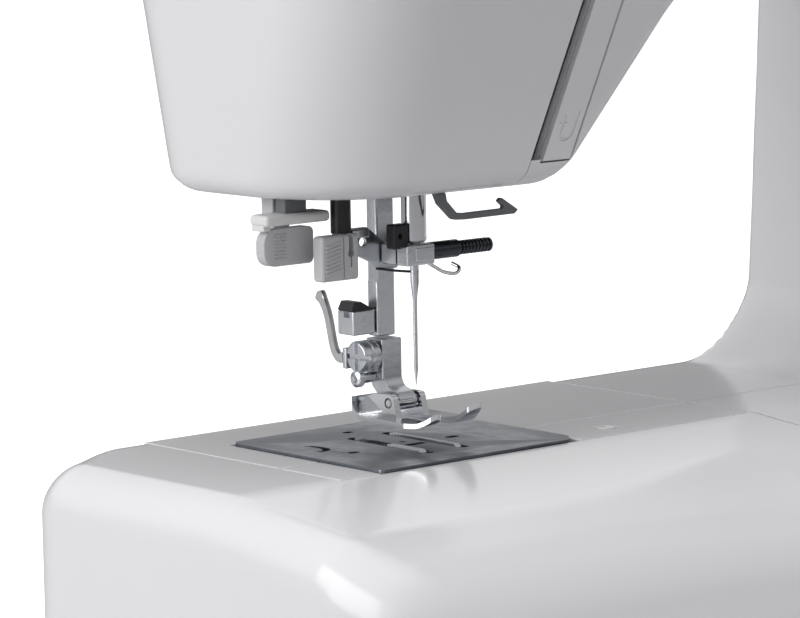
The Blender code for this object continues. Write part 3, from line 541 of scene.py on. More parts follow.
def upper_field(x, y, z):
    """Head, arm and column, without the back and the right end."""
    left = (HEAD_LEFT - SIDE_SLOPE * (z - HEAD_BOTTOM) - x) / math.hypot(1, SIDE_SLOPE)
    left = round_meet(left, HEAD_WIDEST - x, 3.0)
    crown = round_meet(left, z - BODY_TOP, 40.0)
    lean = (HEAD_FRONT - FACE_SLOPE * (z - HEAD_BOTTOM) - y) / math.hypot(1, FACE_SLOPE)
    lean = lean - 60 * ease(x, 60, 110)
    front = round_meet(BODY_FRONT - y, lean, 4.0)
    wall = round_meet(crown, front, 9 + 19 * (1 - ease(z, 150, 200)))
    slant = (x - HEAD_RIGHT - THROAT_SLOPE * (z - HEAD_BOTTOM)) / math.hypot(1, THROAT_SLOPE)
    head = round_meet(HEAD_BOTTOM - z, slant, 7.0)
    under = round_join(head, THROAT_TOP - z, 24.0)
    under = round_join(under, COLUMN_LEFT + COLUMN_LEAN * z - x, 26.0)
    return round_meet(wall, under, 5 + 4 * ease(x, 100, 150))


def bed_field(x, y, z):
    """The bed and its sloping front, without the back and the right end."""
    top = z - BED_TOP
    apron = (z - BED_TOP - 0.1026 * (y - FRONT_SLOPE_START)) / math.hypot(1, 0.1026)
    style = STYLE_LINE + 7 * ease(x, -10, 60)
    brow = (z + 4.5 - 0.30 * (y - style)) / math.hypot(1, 0.30)
    brow = brow - 2.2 * ease(x, 40, 120)
    cheek = ((z + 14.6) * 0.427 - (y + 86) * 0.904)
    nose = BED_FRONT - y
    profile = round_meet(round_meet(round_meet(top, apron, 0.4), brow, 0.55), cheek, 9.0)
    side = round_meet(BED_LEFT - x, nose, 36.0)
    return round_meet(profile, side, 4.5 + 7.0 * ease(-x, 40, 74))


def body_field(x, y, z):
    fillet = 10 + 16 * ease(y, -46, -24)
    both = round_join(upper_field(x, y, z), bed_field(x, y, z), fillet)
    high = ease(z, 30, 55)
    head_radius = high * (6 + 9 * ease(-x, 10, 30)) * (1 - ease(x, 110, 150))
    back_radius = 3 + head_radius + 14 * (1 - high) * ease(-x, 50, 76)
    both = round_meet(both, y - BODY_BACK, back_radius)
    both = round_meet(both, x - BODY_RIGHT, 10 + 20 * ease(z, 160, 200))
    return round_meet(both, TABLE_BOTTOM - z, 1.2)


def field_slope(field, points, reach=0.04):
    slope = np.empty_like(points)
    for axis in range(3):
        ahead, behind = points.copy(), points.copy()
        ahead[:, axis] += reach
        behind[:, axis] -= reach
        slope[:, axis] = (field(*ahead.T) - field(*behind.T)) / (2 * reach)
    return slope


def surface_net(field, low, high, step):
    """A closed quad mesh on the field's zero surface: one point for each grid cell that it crosses."""
    axes = [np.arange(a, b + step, step) for a, b in zip(low, high)]
    inside = field(*np.meshgrid(*axes, indexing="ij")) < 0
    shape = [n - 1 for n in inside.shape]
    count = np.zeros(shape, int)
    for i in (0, 1):
        for j in (0, 1):
            for k in (0, 1):
                count += inside[i:shape[0] + i, j:shape[1] + j, k:shape[2] + k]
    active = (count > 0) & (count < 8)
    index = np.full(shape, -1)
    index[active] = np.arange(active.sum())
    cells = np.argwhere(active)
    points = np.array([axes[a][0] for a in range(3)]) + (cells + 0.5) * step
    for _ in range(5):
        slope = field_slope(field, points)
        points -= slope * (field(*points.T) / np.maximum((slope ** 2).sum(1), 1e-9))[:, None]
    faces = []
    for axis in range(3):
        b, c = (axis + 1) % 3, (axis + 2) % 3
        first = np.take(inside, range(inside.shape[axis] - 1), axis)
        second = np.take(inside, range(1, inside.shape[axis]), axis)
        for flip, crossing in ((False, first & ~second), (True, ~first & second)):
            at = np.argwhere(crossing)
            at = at[(at[:, b] > 0) & (at[:, c] > 0) & (at[:, b] < shape[b]) & (at[:, c] < shape[c])]
            ring = []
            for db, dc in ((-1, -1), (0, -1), (0, 0), (-1, 0)):
                cell = at.copy()
                cell[:, b] += db
                cell[:, c] += dc
                ring.append(index[cell[:, 0], cell[:, 1], cell[:, 2]])
            quads = np.stack(ring, 1)
            faces.append(quads[:, ::-1] if flip else quads)
    return points, np.concatenate(faces)


def net_bmesh(points, faces, bm=None, flip=False):
    bm = bm or bmesh.new()
    verts = [bm.verts.new(point) for point in points]
    for quad in faces.tolist():
        bm.faces.new([verts[i] for i in (reversed(quad) if flip else quad)])
    return bm


def keep_side(bm, point, normal, chosen=lambda centre: True):
    """Cuts the chosen part of a mesh with a plane, drops what the normal points at and fills the cut."""
    faces = [face for face in bm.faces if chosen(face.calc_center_median())]
    edges = list({edge for face in faces for edge in face.edges})
    verts = list({vert for face in faces for vert in face.verts})
    cut = bmesh.ops.bisect_plane(
        bm, geom=verts + edges + faces, plane_co=point, plane_no=normal, clear_outer=True, dist=1e-5
    )
    rim = [item for item in cut["geom_cut"] if isinstance(item, bmesh.types.BMEdge) and item.is_boundary]
    if rim:
        bmesh.ops.triangle_fill(bm, use_beauty=True, use_dissolve=False, edges=rim, normal=normal)


def field_normals(obj, field):
    """Gives the curved faces the field's own normals, so that reflections run smoothly over them."""
    mesh = obj.data
    mesh.shade_smooth()
    points = np.empty(len(mesh.vertices) * 3)
    mesh.vertices.foreach_get("co", points)
    points = points.reshape(-1, 3)
    slope = field_slope(field, points)
    slope /= np.maximum(np.linalg.norm(slope, axis=1), 1e-9)[:, None]
    on_skin = np.abs(field(*points.T)) < 0.06
    corners = np.empty(len(mesh.loops), int)
    mesh.loops.foreach_get("vertex_index", corners)
    starts = np.empty(len(mesh.polygons), int)
    totals = np.empty(len(mesh.polygons), int)
    mesh.polygons.foreach_get("loop_start", starts)
    mesh.polygons.foreach_get("loop_total", totals)
    flat = np.empty(len(mesh.polygons) * 3)
    mesh.polygons.foreach_get("normal", flat)
    order = np.argsort(starts)
    flat = np.repeat(flat.reshape(-1, 3)[order], totals[order], axis=0)
    smooth = slope[corners]
    use = on_skin[corners] & ((smooth * flat).sum(1) > 0.8)
    mesh.normals_split_custom_set(np.where(use[:, None], smooth, flat).tolist())
    return obj


# ---------------------------------------------------------------- casings
def casing_shell(fieldset, x_from, side):
    """The hollow casing right of x_from over the head, before (side -1) or behind (side 1) the joint."""
    (points, faces), (inner_points, inner_faces) = fieldset
    bm = net_bmesh(points, faces)
    net_bmesh(inner_points, inner_faces, bm, flip=True)
    keep_side(bm, (x_from, 0, 0), (-1, 0, 0), lambda centre: centre.z > 30)
    keep_side(bm, (CASING_LEFT, 0, 0), (-1, 0, 0), lambda centre: centre.z < 30)
    keep_side(bm, (0, 0, BED_BOTTOM), (0, 0, -1))
    keep_side(bm, (0, side * GAP / 2, 0), (0, -side, 0))
    return solid(bm)


def face_cover_shell(fieldset):
    (points, faces), (inner_points, inner_faces) = fieldset
    bm = net_bmesh(points, faces)
    net_bmesh(inner_points, inner_faces, bm, flip=True)
    keep_side(bm, (COVER_RIGHT, 0, 0), (1, 0, 0))
    bmesh.ops.delete(bm, geom=[v for v in bm.verts if v.co.z < 35], context="VERTS")
    return solid(bm)


def table_solid(points, faces):
    bm = net_bmesh(points, faces)
    keep_side(bm, (TABLE_RIGHT, 0, 0), (1, 0, 0), lambda centre: centre.z < 30)
    bmesh.ops.delete(bm, geom=[v for v in bm.verts if v.co.z > 35 or v.co.x > TABLE_RIGHT + 1],
                     context="VERTS")
    return solid(bm)


def skin_piece(name, obj, body, stands_for, cutters=(), field=body_field):
    """A casing piece: its windows cut, its curved faces given the field's normals."""
    if cutters:
        carve(obj, *cutters)
    field_normals(obj, field)
    return settle_piece(obj, name, "gloss_shell", body, stands_for)


def tongue_profile(depth, low, high):
    """Points (y, z) down the head's front at a depth behind it."""
    bend = HEAD_BOTTOM + (HEAD_FRONT - BODY_FRONT) / FACE_SLOPE
    foot = HEAD_FRONT - FACE_SLOPE * (low - HEAD_BOTTOM)
    return [(BODY_FRONT + depth, high), (BODY_FRONT + depth, bend), (foot + depth, low)]


def band_block(left, right, low, high, front, back):
    """A block that follows the head's front between two depths."""
    outline = tongue_profile(front, low, high) + tongue_profile(back, low, high)[::-1]
    return prism(outline, "YZ", left, right)


def head_opening(margin, low, high):
    """The opening in the head's underside, which follows its rounded corners."""
    left, front, right, back = -34 - margin, -9 - margin, 31.5 + margin, 33 + margin
    corners = [(left, front, 25), (right, front, 2), (right, back, 2), (left, back, 12)]
    return prism(rounded(corners, 10), "XY", low, high)


def make_casings(sizes):
    low = (HEAD_WIDEST - 30, BED_FRONT - 4, TABLE_BOTTOM - 4)
    high = (BODY_RIGHT + 4, BODY_BACK + 4, BODY_TOP + 4)
    step = sizes.net_step / MM
    wall = sizes.casing_wall / MM
    outer = surface_net(body_field, low, high, step)
    inner = surface_net(lambda x, y, z: body_field(x, y, z) + wall, low, high, step * 1.5)
    nets = (outer, inner)
    cover = face_cover_shell(nets)
    skin_piece(
        "head_side_cover", cover, "frame", ["face_cover"],
        [head_opening(0, 50, 68)],
    )
    front = casing_shell(nets, COVER_RIGHT + GAP, -1)
    skin_piece(
        "front_body", front, "frame", ["front_casing"],
        [
            head_opening(0, 50, 68),
            band_block(18, 23.6, 66.5, 200, -12, 24),
            band_block(23.0, 33.1, 65.6, 197, -12, 2.0),
            block((86, -17, -47), (97, 20, -4)),
            rod((215, -60, 64), "Y", 25, 9.4, 48, 0.01),
            block((BODY_RIGHT - 12, -32, -38.5), (BODY_RIGHT + 5, -8, -22)),
            block((BODY_RIGHT - 12, -34.3, -64.3), (BODY_RIGHT + 5, -5.7, -43.7)),
            rod((BODY_RIGHT - 12, 0, 160), "X", 20, 7, 48, 0.01),
        ],
    )
    rear = casing_shell(nets, COVER_RIGHT + GAP, 1)
    skin_piece(
        "rear_body", rear, "frame", ["rear_casing"],
        [
            head_opening(0, 50, 68),
            block((86, -20, -47), (97, 48, -4)),
            block((20, BODY_BACK - 8, 66), (34, BODY_BACK + 4, 106), 1.5),
            rod((205, 28, BODY_TOP - 12), "Z", 20, 3.6, 32, 0.01),
            rod((258, 18, BODY_TOP - 12), "Z", 20, 5, 32, 0.01),
            rod((BODY_RIGHT - 12, 0, 160), "X", 20, 7, 48, 0.01),
        ],
    )
    table = table_solid(*outer)
    skin_piece(
        "table", table, "extension_table", ["extension_table"],
        [
            block((-42.3, -22, -90), (100, 70, 20)),
            block((-68, BED_FRONT + 12, -66), (84, -26, -23)),
            block((-48, BED_FRONT - 8, -64), (76, BED_FRONT + 16, -38), 1.0),
        ],
    )


def plate_opening():
    return block((-29.8, -26, -2.7), (32.8, 33.8, 6), 0.0), block((-25.5, -17, -12), (28.5, 30, 6), 0.0)


def make_free_arm():
    under = BED_TOP - 3
    left, right = -41.7, 90.2
    profile = [
        (-21.6, -45), (-19.1, -45), (-19.1, under), (-GAP / 2, under), (-GAP / 2, BED_TOP),
        (-21.6, BED_TOP),
    ]
    cover = prism(profile, "YZ", left, right)
    carve(cover, *plate_opening(), rod((49, -13, -6), "Z", 12, 2.6, 48, 0.01))
    piece("shuttle_door", cover, "gloss_shell", "frame", ["shuttle_cover"], 0.7, 4)
    top = block((left, GAP / 2, under), (right, BODY_BACK, BED_TOP))
    carve(top, *plate_opening())
    piece("arm_top", top, "gloss_shell", "frame", ["free_arm_cover"], 0.5, 4)
    ring = turned([(0, -3), (2.3, -3), (2.3, -0.75), (2.1, -0.45), (1.7, -0.45), (1.55, -0.8), (0, -0.95)],
                  "Z",
                  (49, -13, 0), 48)
    piece("bed_screw_cap", ring, "satin_white", "frame", ["bed_plug"], 0)
    flap = block((-47.7, BED_FRONT, -63.7), (75.7, BED_FRONT + 3, -38.3), 0.8)
    grip = prism(rounded([(-8, -43.5, 1.6), (36, -43.5, 1.6), (36, -39.9, 1.6), (-8, -39.9, 1.6)]), "XZ",
                 BED_FRONT - 1, BED_FRONT + 1.2)
    piece("storage_flap", carve(flap, grip), "gloss_shell", "accessory_flap", ["accessory_flap"], 0.25)


# ---------------------------------------------------------------- needle plate and feed
def slot_shape(x, y, half_x, half_y, low=-6.0, high=3.0):
    radius = min(half_x, half_y) * 0.98
    corners = [(x - half_x, y - half_y, radius), (x + half_x, y - half_y, radius),
               (x + half_x, y + half_y, radius), (x - half_x, y + half_y, radius)]
    return prism(rounded(corners, 6), "XY", low, high)


def make_plate():
    corners = [(-29.5, -21.5, 1), (28.5, -21.5, 1.2), (32.5, -17.5, 1.2), (32.5, 33.5, 1), (-29.5, 33.5, 3)]
    plate = prism(rounded(corners, 5), "XY", -2.4, 0)
    cuts = [slot_shape(-0.4, 0, 3.0, 1.0)]
    cuts += [slot_shape(x, 2.85, 1.5, 14.7) for x in (-5.9, 4.9)]
    holes = ((-1, 24.1, 1.5, 1.0), (-18.3, 1.5, 1.5, 1.0), (12.2, 1.4, 1.9, 1.1), (-0.8, 4.3, 0.8, 0.8))
    cuts += [slot_shape(*hole) for hole in holes]
    crescent = slot_shape(-22.0, 12.1, 3.4, 4.6, -0.9)
    carve(crescent, slot_shape(-23.4, 12.9, 3.1, 4.4, -3, 5))
    cuts.append(crescent)
    cuts += [block((x - 0.11, y, -0.12), (x + 0.11, y + length, 2))
             for x, y, length in ((-15, -9, 26), (-17.5, -6, 20), (-20, -6, 23), (16, -9, 22),
                                  (19, -9, 22))]
    cuts += [block((-9, y - 0.11, -0.12), (9, y + 0.11, 2)) for y in (-14.5, -17)]
    carve(plate, *cuts)
    piece("ground_plate", plate, "plate_steel", "frame", ["needle_plate"], 0.22, 2)
    teeth = []
    for x in (-5.9, 4.9):
        outline = [(-9, -8), (14.5, -8)]
        count = 24
        pitch = 23.5 / count
        for i in range(count):
            at = 14.5 - i * pitch
            outline += [(at, 0.35), (at - pitch * 0.75, -0.35)]
        outline.append((-9, -0.35))
        teeth.append(prism(outline, "YZ", x - 1.15, x + 1.15))
    base = block((-6.7, 6, -10), (5.8, 14.5, -6), 0.3)
    piece("feed_teeth", gather(base, *teeth), "chrome", "feed_dog", ["feed_dog"], 0)


# ---------------------------------------------------------------- needle group
def make_needle():
    bar = turned(
        [(0, 47.8), (2.45, 47.8), (2.95, 48.3), (2.95, 133.4), (2.6, 133.8), (0, 133.8)], "Z", (0, 0, 0),
        64)
    carve(bar, rod((0, 0, 40), "Z", 13, 1.35, 32, 0.01))
    piece("polished_needle_bar", bar, "chrome", "needle_bar", ["needle_bar"], 0)
    clamp = block((-5.5, -4, 42.7), (3, 5.6, 47.5), 0.45, 3)
    fuse(clamp, block((-3.0, -4.25, 43.6), (2.6, -3.4, 46.8), 0.3))
    carve(clamp, rod((0, 0, 40), "Z", 13, 1.35, 32, 0.01), block((-6, -0.25, 42), (-2.4, 0.25, 48)))
    piece("needle_clamp_block", clamp, "plated_steel", "needle_bar", ["needle_clamp"], 0)
    clip = block((-7.4, -1.6, 46.6), (-3.0, 1.6, 52.4), 0.5, 3)
    carve(clip, rod((-5.6, -3, 49.6), "Y", 7, 0.7, 24, 0.01))
    piece("thread_clip", clip, "black_plastic", "needle_bar", (), 0)
    shank = turned(
        [(0, 13.7), (0.12, 14.3), (0.34, 16.2), (0.5, 18), (0.5, 33.6), (0.62, 35.2), (1.0, 38.2),
         (1.0, 51.4),
         (0.8, 51.7), (0, 51.7)], "Z", (0, 0, 0), 32)
    carve(shank, slot_shape(0, -0.86, 0.2, 0.28, 36.5, 41), slot_shape(0, 0, 0.16, 2, 17.0, 18.4))
    piece("sewing_needle", shank, "plated_steel", "needle_bar", ["needle"], 0)
    steps = [(0, 3.3), (1.7, 3.3), (2.1, 3.7), (2.1, 13.0), (1.75, 13.4)]
    at = 13.6
    while at < 22.6:
        steps += [(1.42, at), (1.42, at + 0.3), (1.7, at + 0.45), (1.7, at + 0.95)]
        at += 1.1
    steps += [(1.6, 23.1), (1.2, 23.4), (0, 23.4)]
    screw = turned(steps, "X", (0, 0, 45.2), 40)
    carve(screw, block((21.8, -0.25, 43), (25, 0.25, 48)))
    piece("clamp_screw_ribbed", screw, "gunmetal", "needle_clamp_screw", ["needle_clamp_screw"], 0)
    wire = smooth_path([(1.2, -3.6, 43.0), (2.6, -4.5, 41.9), (5, -5, 40.6), (7.6, -6, 40.2),
                        (9.2, -5.4, 41.3), (8.6, -3.4, 42.3)], 8)
    piece("thread_eye", sweep(wire, 0.42, 16), "chrome", "needle_bar", ["needle_thread_guide"], 0)


# ---------------------------------------------------------------- presser group
def make_presser():
    bar = block((-2.6, 10.4, 24.6), (2.9, 14.2, 140), 0.55, 3)
    carve(bar, prism([(-4, 36), (-2.2, 38), (-2.2, 45), (-4, 46)], "XZ", 8, 16))
    piece("presser_rail", bar, "plated_steel", "presser_bar", ["presser_bar"], 0)
    ankle = block((-3, 8.5, 14.5), (3.1, 14.5, 24.2), 0.4)
    tongue = rounded([(8.5, 15.4, 0), (14, 15.4, 0), (12.8, 12.6, 1), (7.4, 7.9, 1), (4.1, 7.55, 1.8),
                      (2.2, 9.7, 2),
                      (4.1, 11.9, 2), (7.2, 12.9, 1.5)], 5)
    fuse(ankle, prism(tongue, "YZ", -2.6, 2.6), block((-8.2, 15.7, 17), (-1, 17.2, 22), 0.4),
         block((-2.8, 13, 17.4), (0, 16.6, 21.6), 0.3))
    carve(ankle, rod((-12, 4.1, 9.7), "X", 24, 1.3, 32, 0.01))
    piece("foot_ankle", ankle, "plated_steel", "presser_bar", ["presser_ankle"], 0)
    head = turned([(0, 0), (2.2, 0), (3.5, 0.3), (3.8, 0.7), (3.8, 2.4), (3.4, 2.7), (3.4, 3.1), (3.8, 3.4),
                   (3.8, 4.9), (3.3, 5.4), (0, 5.4)], "-X", (-3.3, 11.5, 20.3), 56)
    carve(head, block((-12, 10.95, 15), (-7.5, 12.05, 26)), block((-12, 6, 19.75), (-7.5, 17, 20.85)))
    piece("thumb_screw", head, "plated_steel", "ankle_screw", ["ankle_screw"], 0.12, 2)
    small = turned([(0, 0), (0.75, 0), (0.85, 0.5), (1.5, 0.5), (2.0, 0.9), (2.0, 2.2), (1.25, 2.4),
                    (1.25, 6.2), (0, 6.2)],
                   "X", (-9.3, 12, 15), 40)
    piece("ankle_small_screw", small, "plated_steel", "presser_bar", (), 0)
    path = smooth_path([(-6.9, 17.8, 19.4), (-6.9, 19.8, 19.4), (-6.9, 21.6, 21.8), (-6.9, 23.4, 28.6),
                        (-6.9, 25.0, 32.0), (-6.9, 27.0, 34.4)], 8)

    def blade_radius(t):
        waist = 1.3 - 0.2 * math.sin(math.pi * t)
        return waist + 0.35 * ease(t, 0.8, 0.93) - 1.2 * ease(t, 0.95, 1.0)

    lever = sweep(path, blade_radius, 24)
    blade_x, blade_half = -6.9, 0.7
    for vert in lever.data.vertices:
        vert.co.x = blade_x + max(-blade_half, min(blade_half, vert.co.x - blade_x))
    piece("foot_release", lever, "satin_steel", "release_lever", ["release_lever"], 0.15, 2)
    holder = block((-9.6, 11, 25.4), (-2.9, 17, 31.2), 0.5)
    carve(holder, prism([(12.5, 29.6), (14.6, 29.6), (14.6, 32), (12.5, 32)], "YZ", -11, -8.4))
    piece("bar_holder", holder, "plated_steel", "presser_bar", ["bar_block"], 0)
    cap = prism([(-9.9, 31.4), (-8.8, 33.4), (-6.8, 33.3), (-4.4, 32.0), (-2.9, 31.6), (-2.9, 31.0),
                 (-9.4, 31.0)],
                "XZ", 11.4, 16.6)
    piece("bar_holder_cap", cap, "black_plastic", "presser_bar", (), 0.25, 2)
    piece("foot_hinge_pin", turned([(0, -5.4), (0.75, -5.4), (1.0, -5.15), (1.0, 5.15), (0.75, 5.4),
                                    (0, 5.4)], "X",
                                   (0, 4.1, 9.7), 32), "chrome", "presser_bar", ["foot_pin"], 0)
    make_foot()


def make_foot():
    under = smooth_path([(0, -17.6, 10.6), (0, -15.5, 9.3), (0, -13, 7.5), (0, -10.4, 6.0), (0, -7.5, 5.35),
                         (0, 0, 5.3),
                         (0, 8, 5.3), (0, 11.4, 5.9), (0, 13.6, 7.3), (0, 15.6, 9.6)], 6)
    upper = smooth_path([(0, 14.8, 10.5), (0, 12.6, 8.3), (0, 10.6, 6.9), (0, 7.8, 6.5), (0, 0, 6.5),
                         (0, -7.3, 6.5),
                         (0, -10, 7.0), (0, -12.2, 8.2), (0, -14.6, 9.9), (0, -17.0, 11.6)], 6)
    sole = [(point.y, point.z) for point in under + upper]
    foot = prism(sole, "YZ", -9.6, 9.6)
    outline = rounded([(-9, -6, 6), (-6.4, -13.6, 1.5), (-3.4, -13.0, 1.2), (-3.4, 2.2, 0), (3.0, 2.2, 0),
                       (3.0, -14.8, 1.0), (6.0, -17.0, 1.4), (9, -9, 6), (9, 16.5, 5.5), (-9, 16.5, 5.5)],
                       10)
    trim(foot, prism(outline, "XY", 2, 14))
    ears = []
    for x in (-5.3, 3.2):
        outline = rounded([(1.0, 5.8, 0), (14.2, 5.8, 0), (13.2, 10.2, 1.6), (9, 11.6, 3),
                           (2.6, 11.8, 1.4)], 5)
        ears.append(prism(outline, "YZ", x, x + 1.7))
    fuse(foot, *ears)
    carve(foot, rod((-12, 4.1, 9.7), "X", 24, 1.3, 32, 0.01))
    piece("sewing_foot", foot, "chrome", "presser_foot", ["presser_foot"], 0.28, 3)


# ---------------------------------------------------------------- threader and buttonhole lever
def make_threader():
    lever = block((-26.6, 1.5, 40.4), (-15.5, 5.2, 51.0), 0.8, 4)
    carve(lever, block((-20.4, 0.9, 38), (-20.0, 1.9, 53)),
          prism([(-18.6, 47.0), (-17.3, 47.0), (-17.3, 53), (-18.6, 53)], "XZ", 0.5, 4),
          rod((-17.95, 0.5, 46.6), "Y", 3, 0.95, 24, 0.01), block((-18.15, 0.5, 43.4), (-17.75, 3, 47)))
    grip = [prism([(-25.6, z), (-21.0, z + 1.1), (-21.0, z + 1.55), (-25.6, z + 0.45)], "XZ", 1.2, 2)
            for z in np.linspace(41.8, 48.2, 8)]
    piece("threader_handle_ribs", gather(*grip), "grey_trim", "threader", (), 0.12, 2)
    piece("threader_handle", lever, "grey_trim", "threader", ["threader_lever"], 0.12, 2)
    carrier = prism(rounded([(-15, 51.6, 0.4), (-15, 47, 0.4), (-12.4, 45.2, 0.6), (-7.6, 43.0, 0.6),
                             (-5.8, 41.3, 0.4),
                             (-0.4, 41.2, 0.3), (0.8, 42.2, 0.3), (-4.4, 48, 1), (-9.3, 51.6, 0.8)], 4),
                             "XZ", 6.0, 7.0)
    carve(carrier, rod((-10.6, 3, 48.2), "Y", 6, 1.1, 24, 0.01))
    fuse(carrier, block((-14.8, 4.6, 49.4), (-9.6, 6.5, 51.4), 0.3))
    finger = sweep(smooth_path([(-6.4, 6.4, 41.6), (-2.4, 3.6, 40.9), (2.8, 1.7, 40.3)], 6), 0.32, 12)
    piece("threader_finger", finger, "gunmetal", "threader", (), 0)
    piece("threader_plate", carrier, "plated_steel", "threader", ["threader_carrier"], 0.25, 2)
    stem = turned([(0, 50.6), (2.0, 50.6), (2.4, 51), (2.4, 114.2), (2.1, 114.6), (0, 114.6)], "Z",
                  (-17.2, 6, 0), 40)
    piece("threader_stem", stem, "black_plastic", "threader", ["threader_rod"], 0)
    paddle = prism(rounded([(-38, 44.4, 3.2), (-23.4, 44.4, 1.4), (-23.4, 53, 1.4), (-38, 53, 3.2)], 6),
                   "XZ", 8.6, 11.6)
    fuse(paddle, block((-31, 10, 49), (-26, 18.4, 52.4), 0.4), block((-31, 13.8, 49), (-26, 18.2, 84), 0.4))
    marks = [block((x, 8.3, z), (x + 1.6, 9, z + 0.42)) for z in np.linspace(45.8, 51.4, 8) for x in (-35.2,
                                                                                                      -33.2)]
    piece("buttonhole_paddle_ribs", gather(*marks), "grey_trim", "buttonhole_lever", (), 0.12, 2)
    piece("buttonhole_paddle", paddle, "grey_trim", "buttonhole_lever", ["buttonhole_lever"], 0.2, 2)
    bracket = block((-39.5, 5.6, 54.0), (-20.4, 12.2, 56.6), 1.0, 4)
    fuse(bracket, block((-39, 7.5, 52.8), (-36.6, 12, 55), 0.4))
    root = block((-33, 7.0, 56.2), (-26.5, 10.5, 60.6), 0.3)
    piece("lever_holder_root", root, "hook_grey", "frame", (), 0)
    piece("lever_holder", bracket, "satin_white", "frame", ["lever_bracket"], 0.15, 2)


def make_head_fittings():
    tongue = band_block(23.75, 32.5, 66, 196, 0.0, 1.7)
    arrow = rounded([(26.1, 75.2, 0), (26.1, 70.6, 2.2), (30.9, 70.6, 2.2), (30.9, 77.7, 0),
                     (30.1, 77.7, 0),
                     (30.1, 71.4, 1.4), (26.9, 71.4, 1.4), (26.9, 75.2, 0)], 6)
    mark = fuse(prism(arrow, "XZ", -40, -14), prism([(25.2, 75), (27.8, 75), (26.5, 77.2)], "XZ", -39, -15))
    trim(mark, band_block(20, 40, 60, 90, -1.0, 0.45))
    carve(tongue, mark)
    piece("thread_tongue", tongue, "gloss_shell", "frame", ["thread_guide_panel"], 0.16, 2)
    floor = head_opening(-0.3, 60.3, 62.5)
    carve(floor, rod((0, 0, 55), "Z", 12, 3.45, 40, 0.01), block((-3.2, 9.8, 55), (3.5, 14.8, 70)),
          rod((-17.2, 6, 55), "Z", 12, 2.8, 32, 0.01), block((-31.5, 13.2, 55), (-25.5, 18.8, 70)))
    piece("head_underside", floor, "black_plastic", "frame", ["head_floor"], 0)
    lens = block((8, 18, 57.6), (26, 28, 60), 0.9, 4)
    piece("lamp_cover", lens, "lamp_lens", "frame", ["lamp"], 0)
    outline = rounded([(-1.2, 59.7, 0), (0.0, 57.2, 1), (4.4, 53.2, 2), (8, 53.0, 2), (23.6, 53.1, 0.6),
                       (24.8, 54.0, 0.3), (19.6, 57.2, 0.3), (18.7, 56.4, 0.3), (21.0, 54.6, 0.4),
                       (8.2, 54.5, 1),
                       (5.4, 54.8, 1), (2.4, 57.8, 1), (2.0, 59.7, 0)], 4)
    stem = prism(outline, "XZ", -9.2, -7.7)
    piece("thread_hook_strip", stem, "hook_grey", "frame", ["thread_hook"], 0.25, 2)


# ---------------------------------------------------------------- controls
# Each dial's name, centre x and z, radius, depth, ribs and marks round it.
DIALS = (
    ("stitch", 215, 150, 22, 12, 30, 22),
    ("length", 262, 96, 12, 10, 20, 10),
    ("tension", 78, 176, 13, 9, 22, 10),
)


def knob(name, x, z, radius, depth, ribs, node):
    """A ribbed knob on the front face with a pointer level with its face. Its body has its node's name."""
    front = BODY_FRONT - GAP
    bm = bmesh.new()
    rings = []
    heights = [(0, 1.0), (0.4, 1.0), (depth - 2.4, 0.96), (depth - 0.8, 0.93), (depth, 0.86)]
    steps = ribs * 6
    for height, share in heights:
        ring = []
        for i in range(steps):
            angle = 2 * math.pi * i / steps
            wave = 0.35 * max(0.0, math.cos(ribs * angle)) * (0.4 < height < depth - 0.5)
            reach = radius * share - wave
            ring.append(bm.verts.new((x + reach * math.cos(angle), front - height,
                                      z + reach * math.sin(angle))))
        rings.append(ring)
    for one, two in zip(rings, rings[1:]):
        for i in range(steps):
            bm.faces.new((one[i], one[(i + 1) % steps], two[(i + 1) % steps], two[i]))
    bm.faces.new(rings[0])
    bm.faces.new(rings[-1])
    bmesh.ops.recalc_face_normals(bm, faces=bm.faces)
    dial = solid(bm)
    carve(dial, turned([(radius * 0.72, -1), (radius * 0.76, -1), (radius * 0.76, 0.5),
                        (radius * 0.72, 0.5)], "Y",
                       (x, front - depth, z), 64))
    piece(name, dial, "grey_trim", node, [node], 0)
    face = front - depth
    pointer = block((x - 0.7, face, z + radius * 0.42), (x + 0.7, face + 1, z + radius * 0.70), 0)
    piece(name + "_pointer", pointer, "satin_white", node, (), 0)


def dial_ticks(name, x, z, radius, count):
    """Short marks on the front casing round a dial."""
    marks = []
    for i in range(count):
        angle = math.radians(225 - 270 * i / (count - 1))
        end = radius + (5.2 if i % 3 == 0 else 4.2)
        mark = block((-0.35, BODY_FRONT - 0.12, radius + 2.2), (0.35, BODY_FRONT + 1, end))
        mark.data.transform(Matrix.Translation((x, 0, z)) @ Matrix.Rotation(math.pi / 2 - angle, 4, "Y"))
        marks.append(mark)
    piece(name, gather(*marks), "mark_grey", "frame", (), 0)


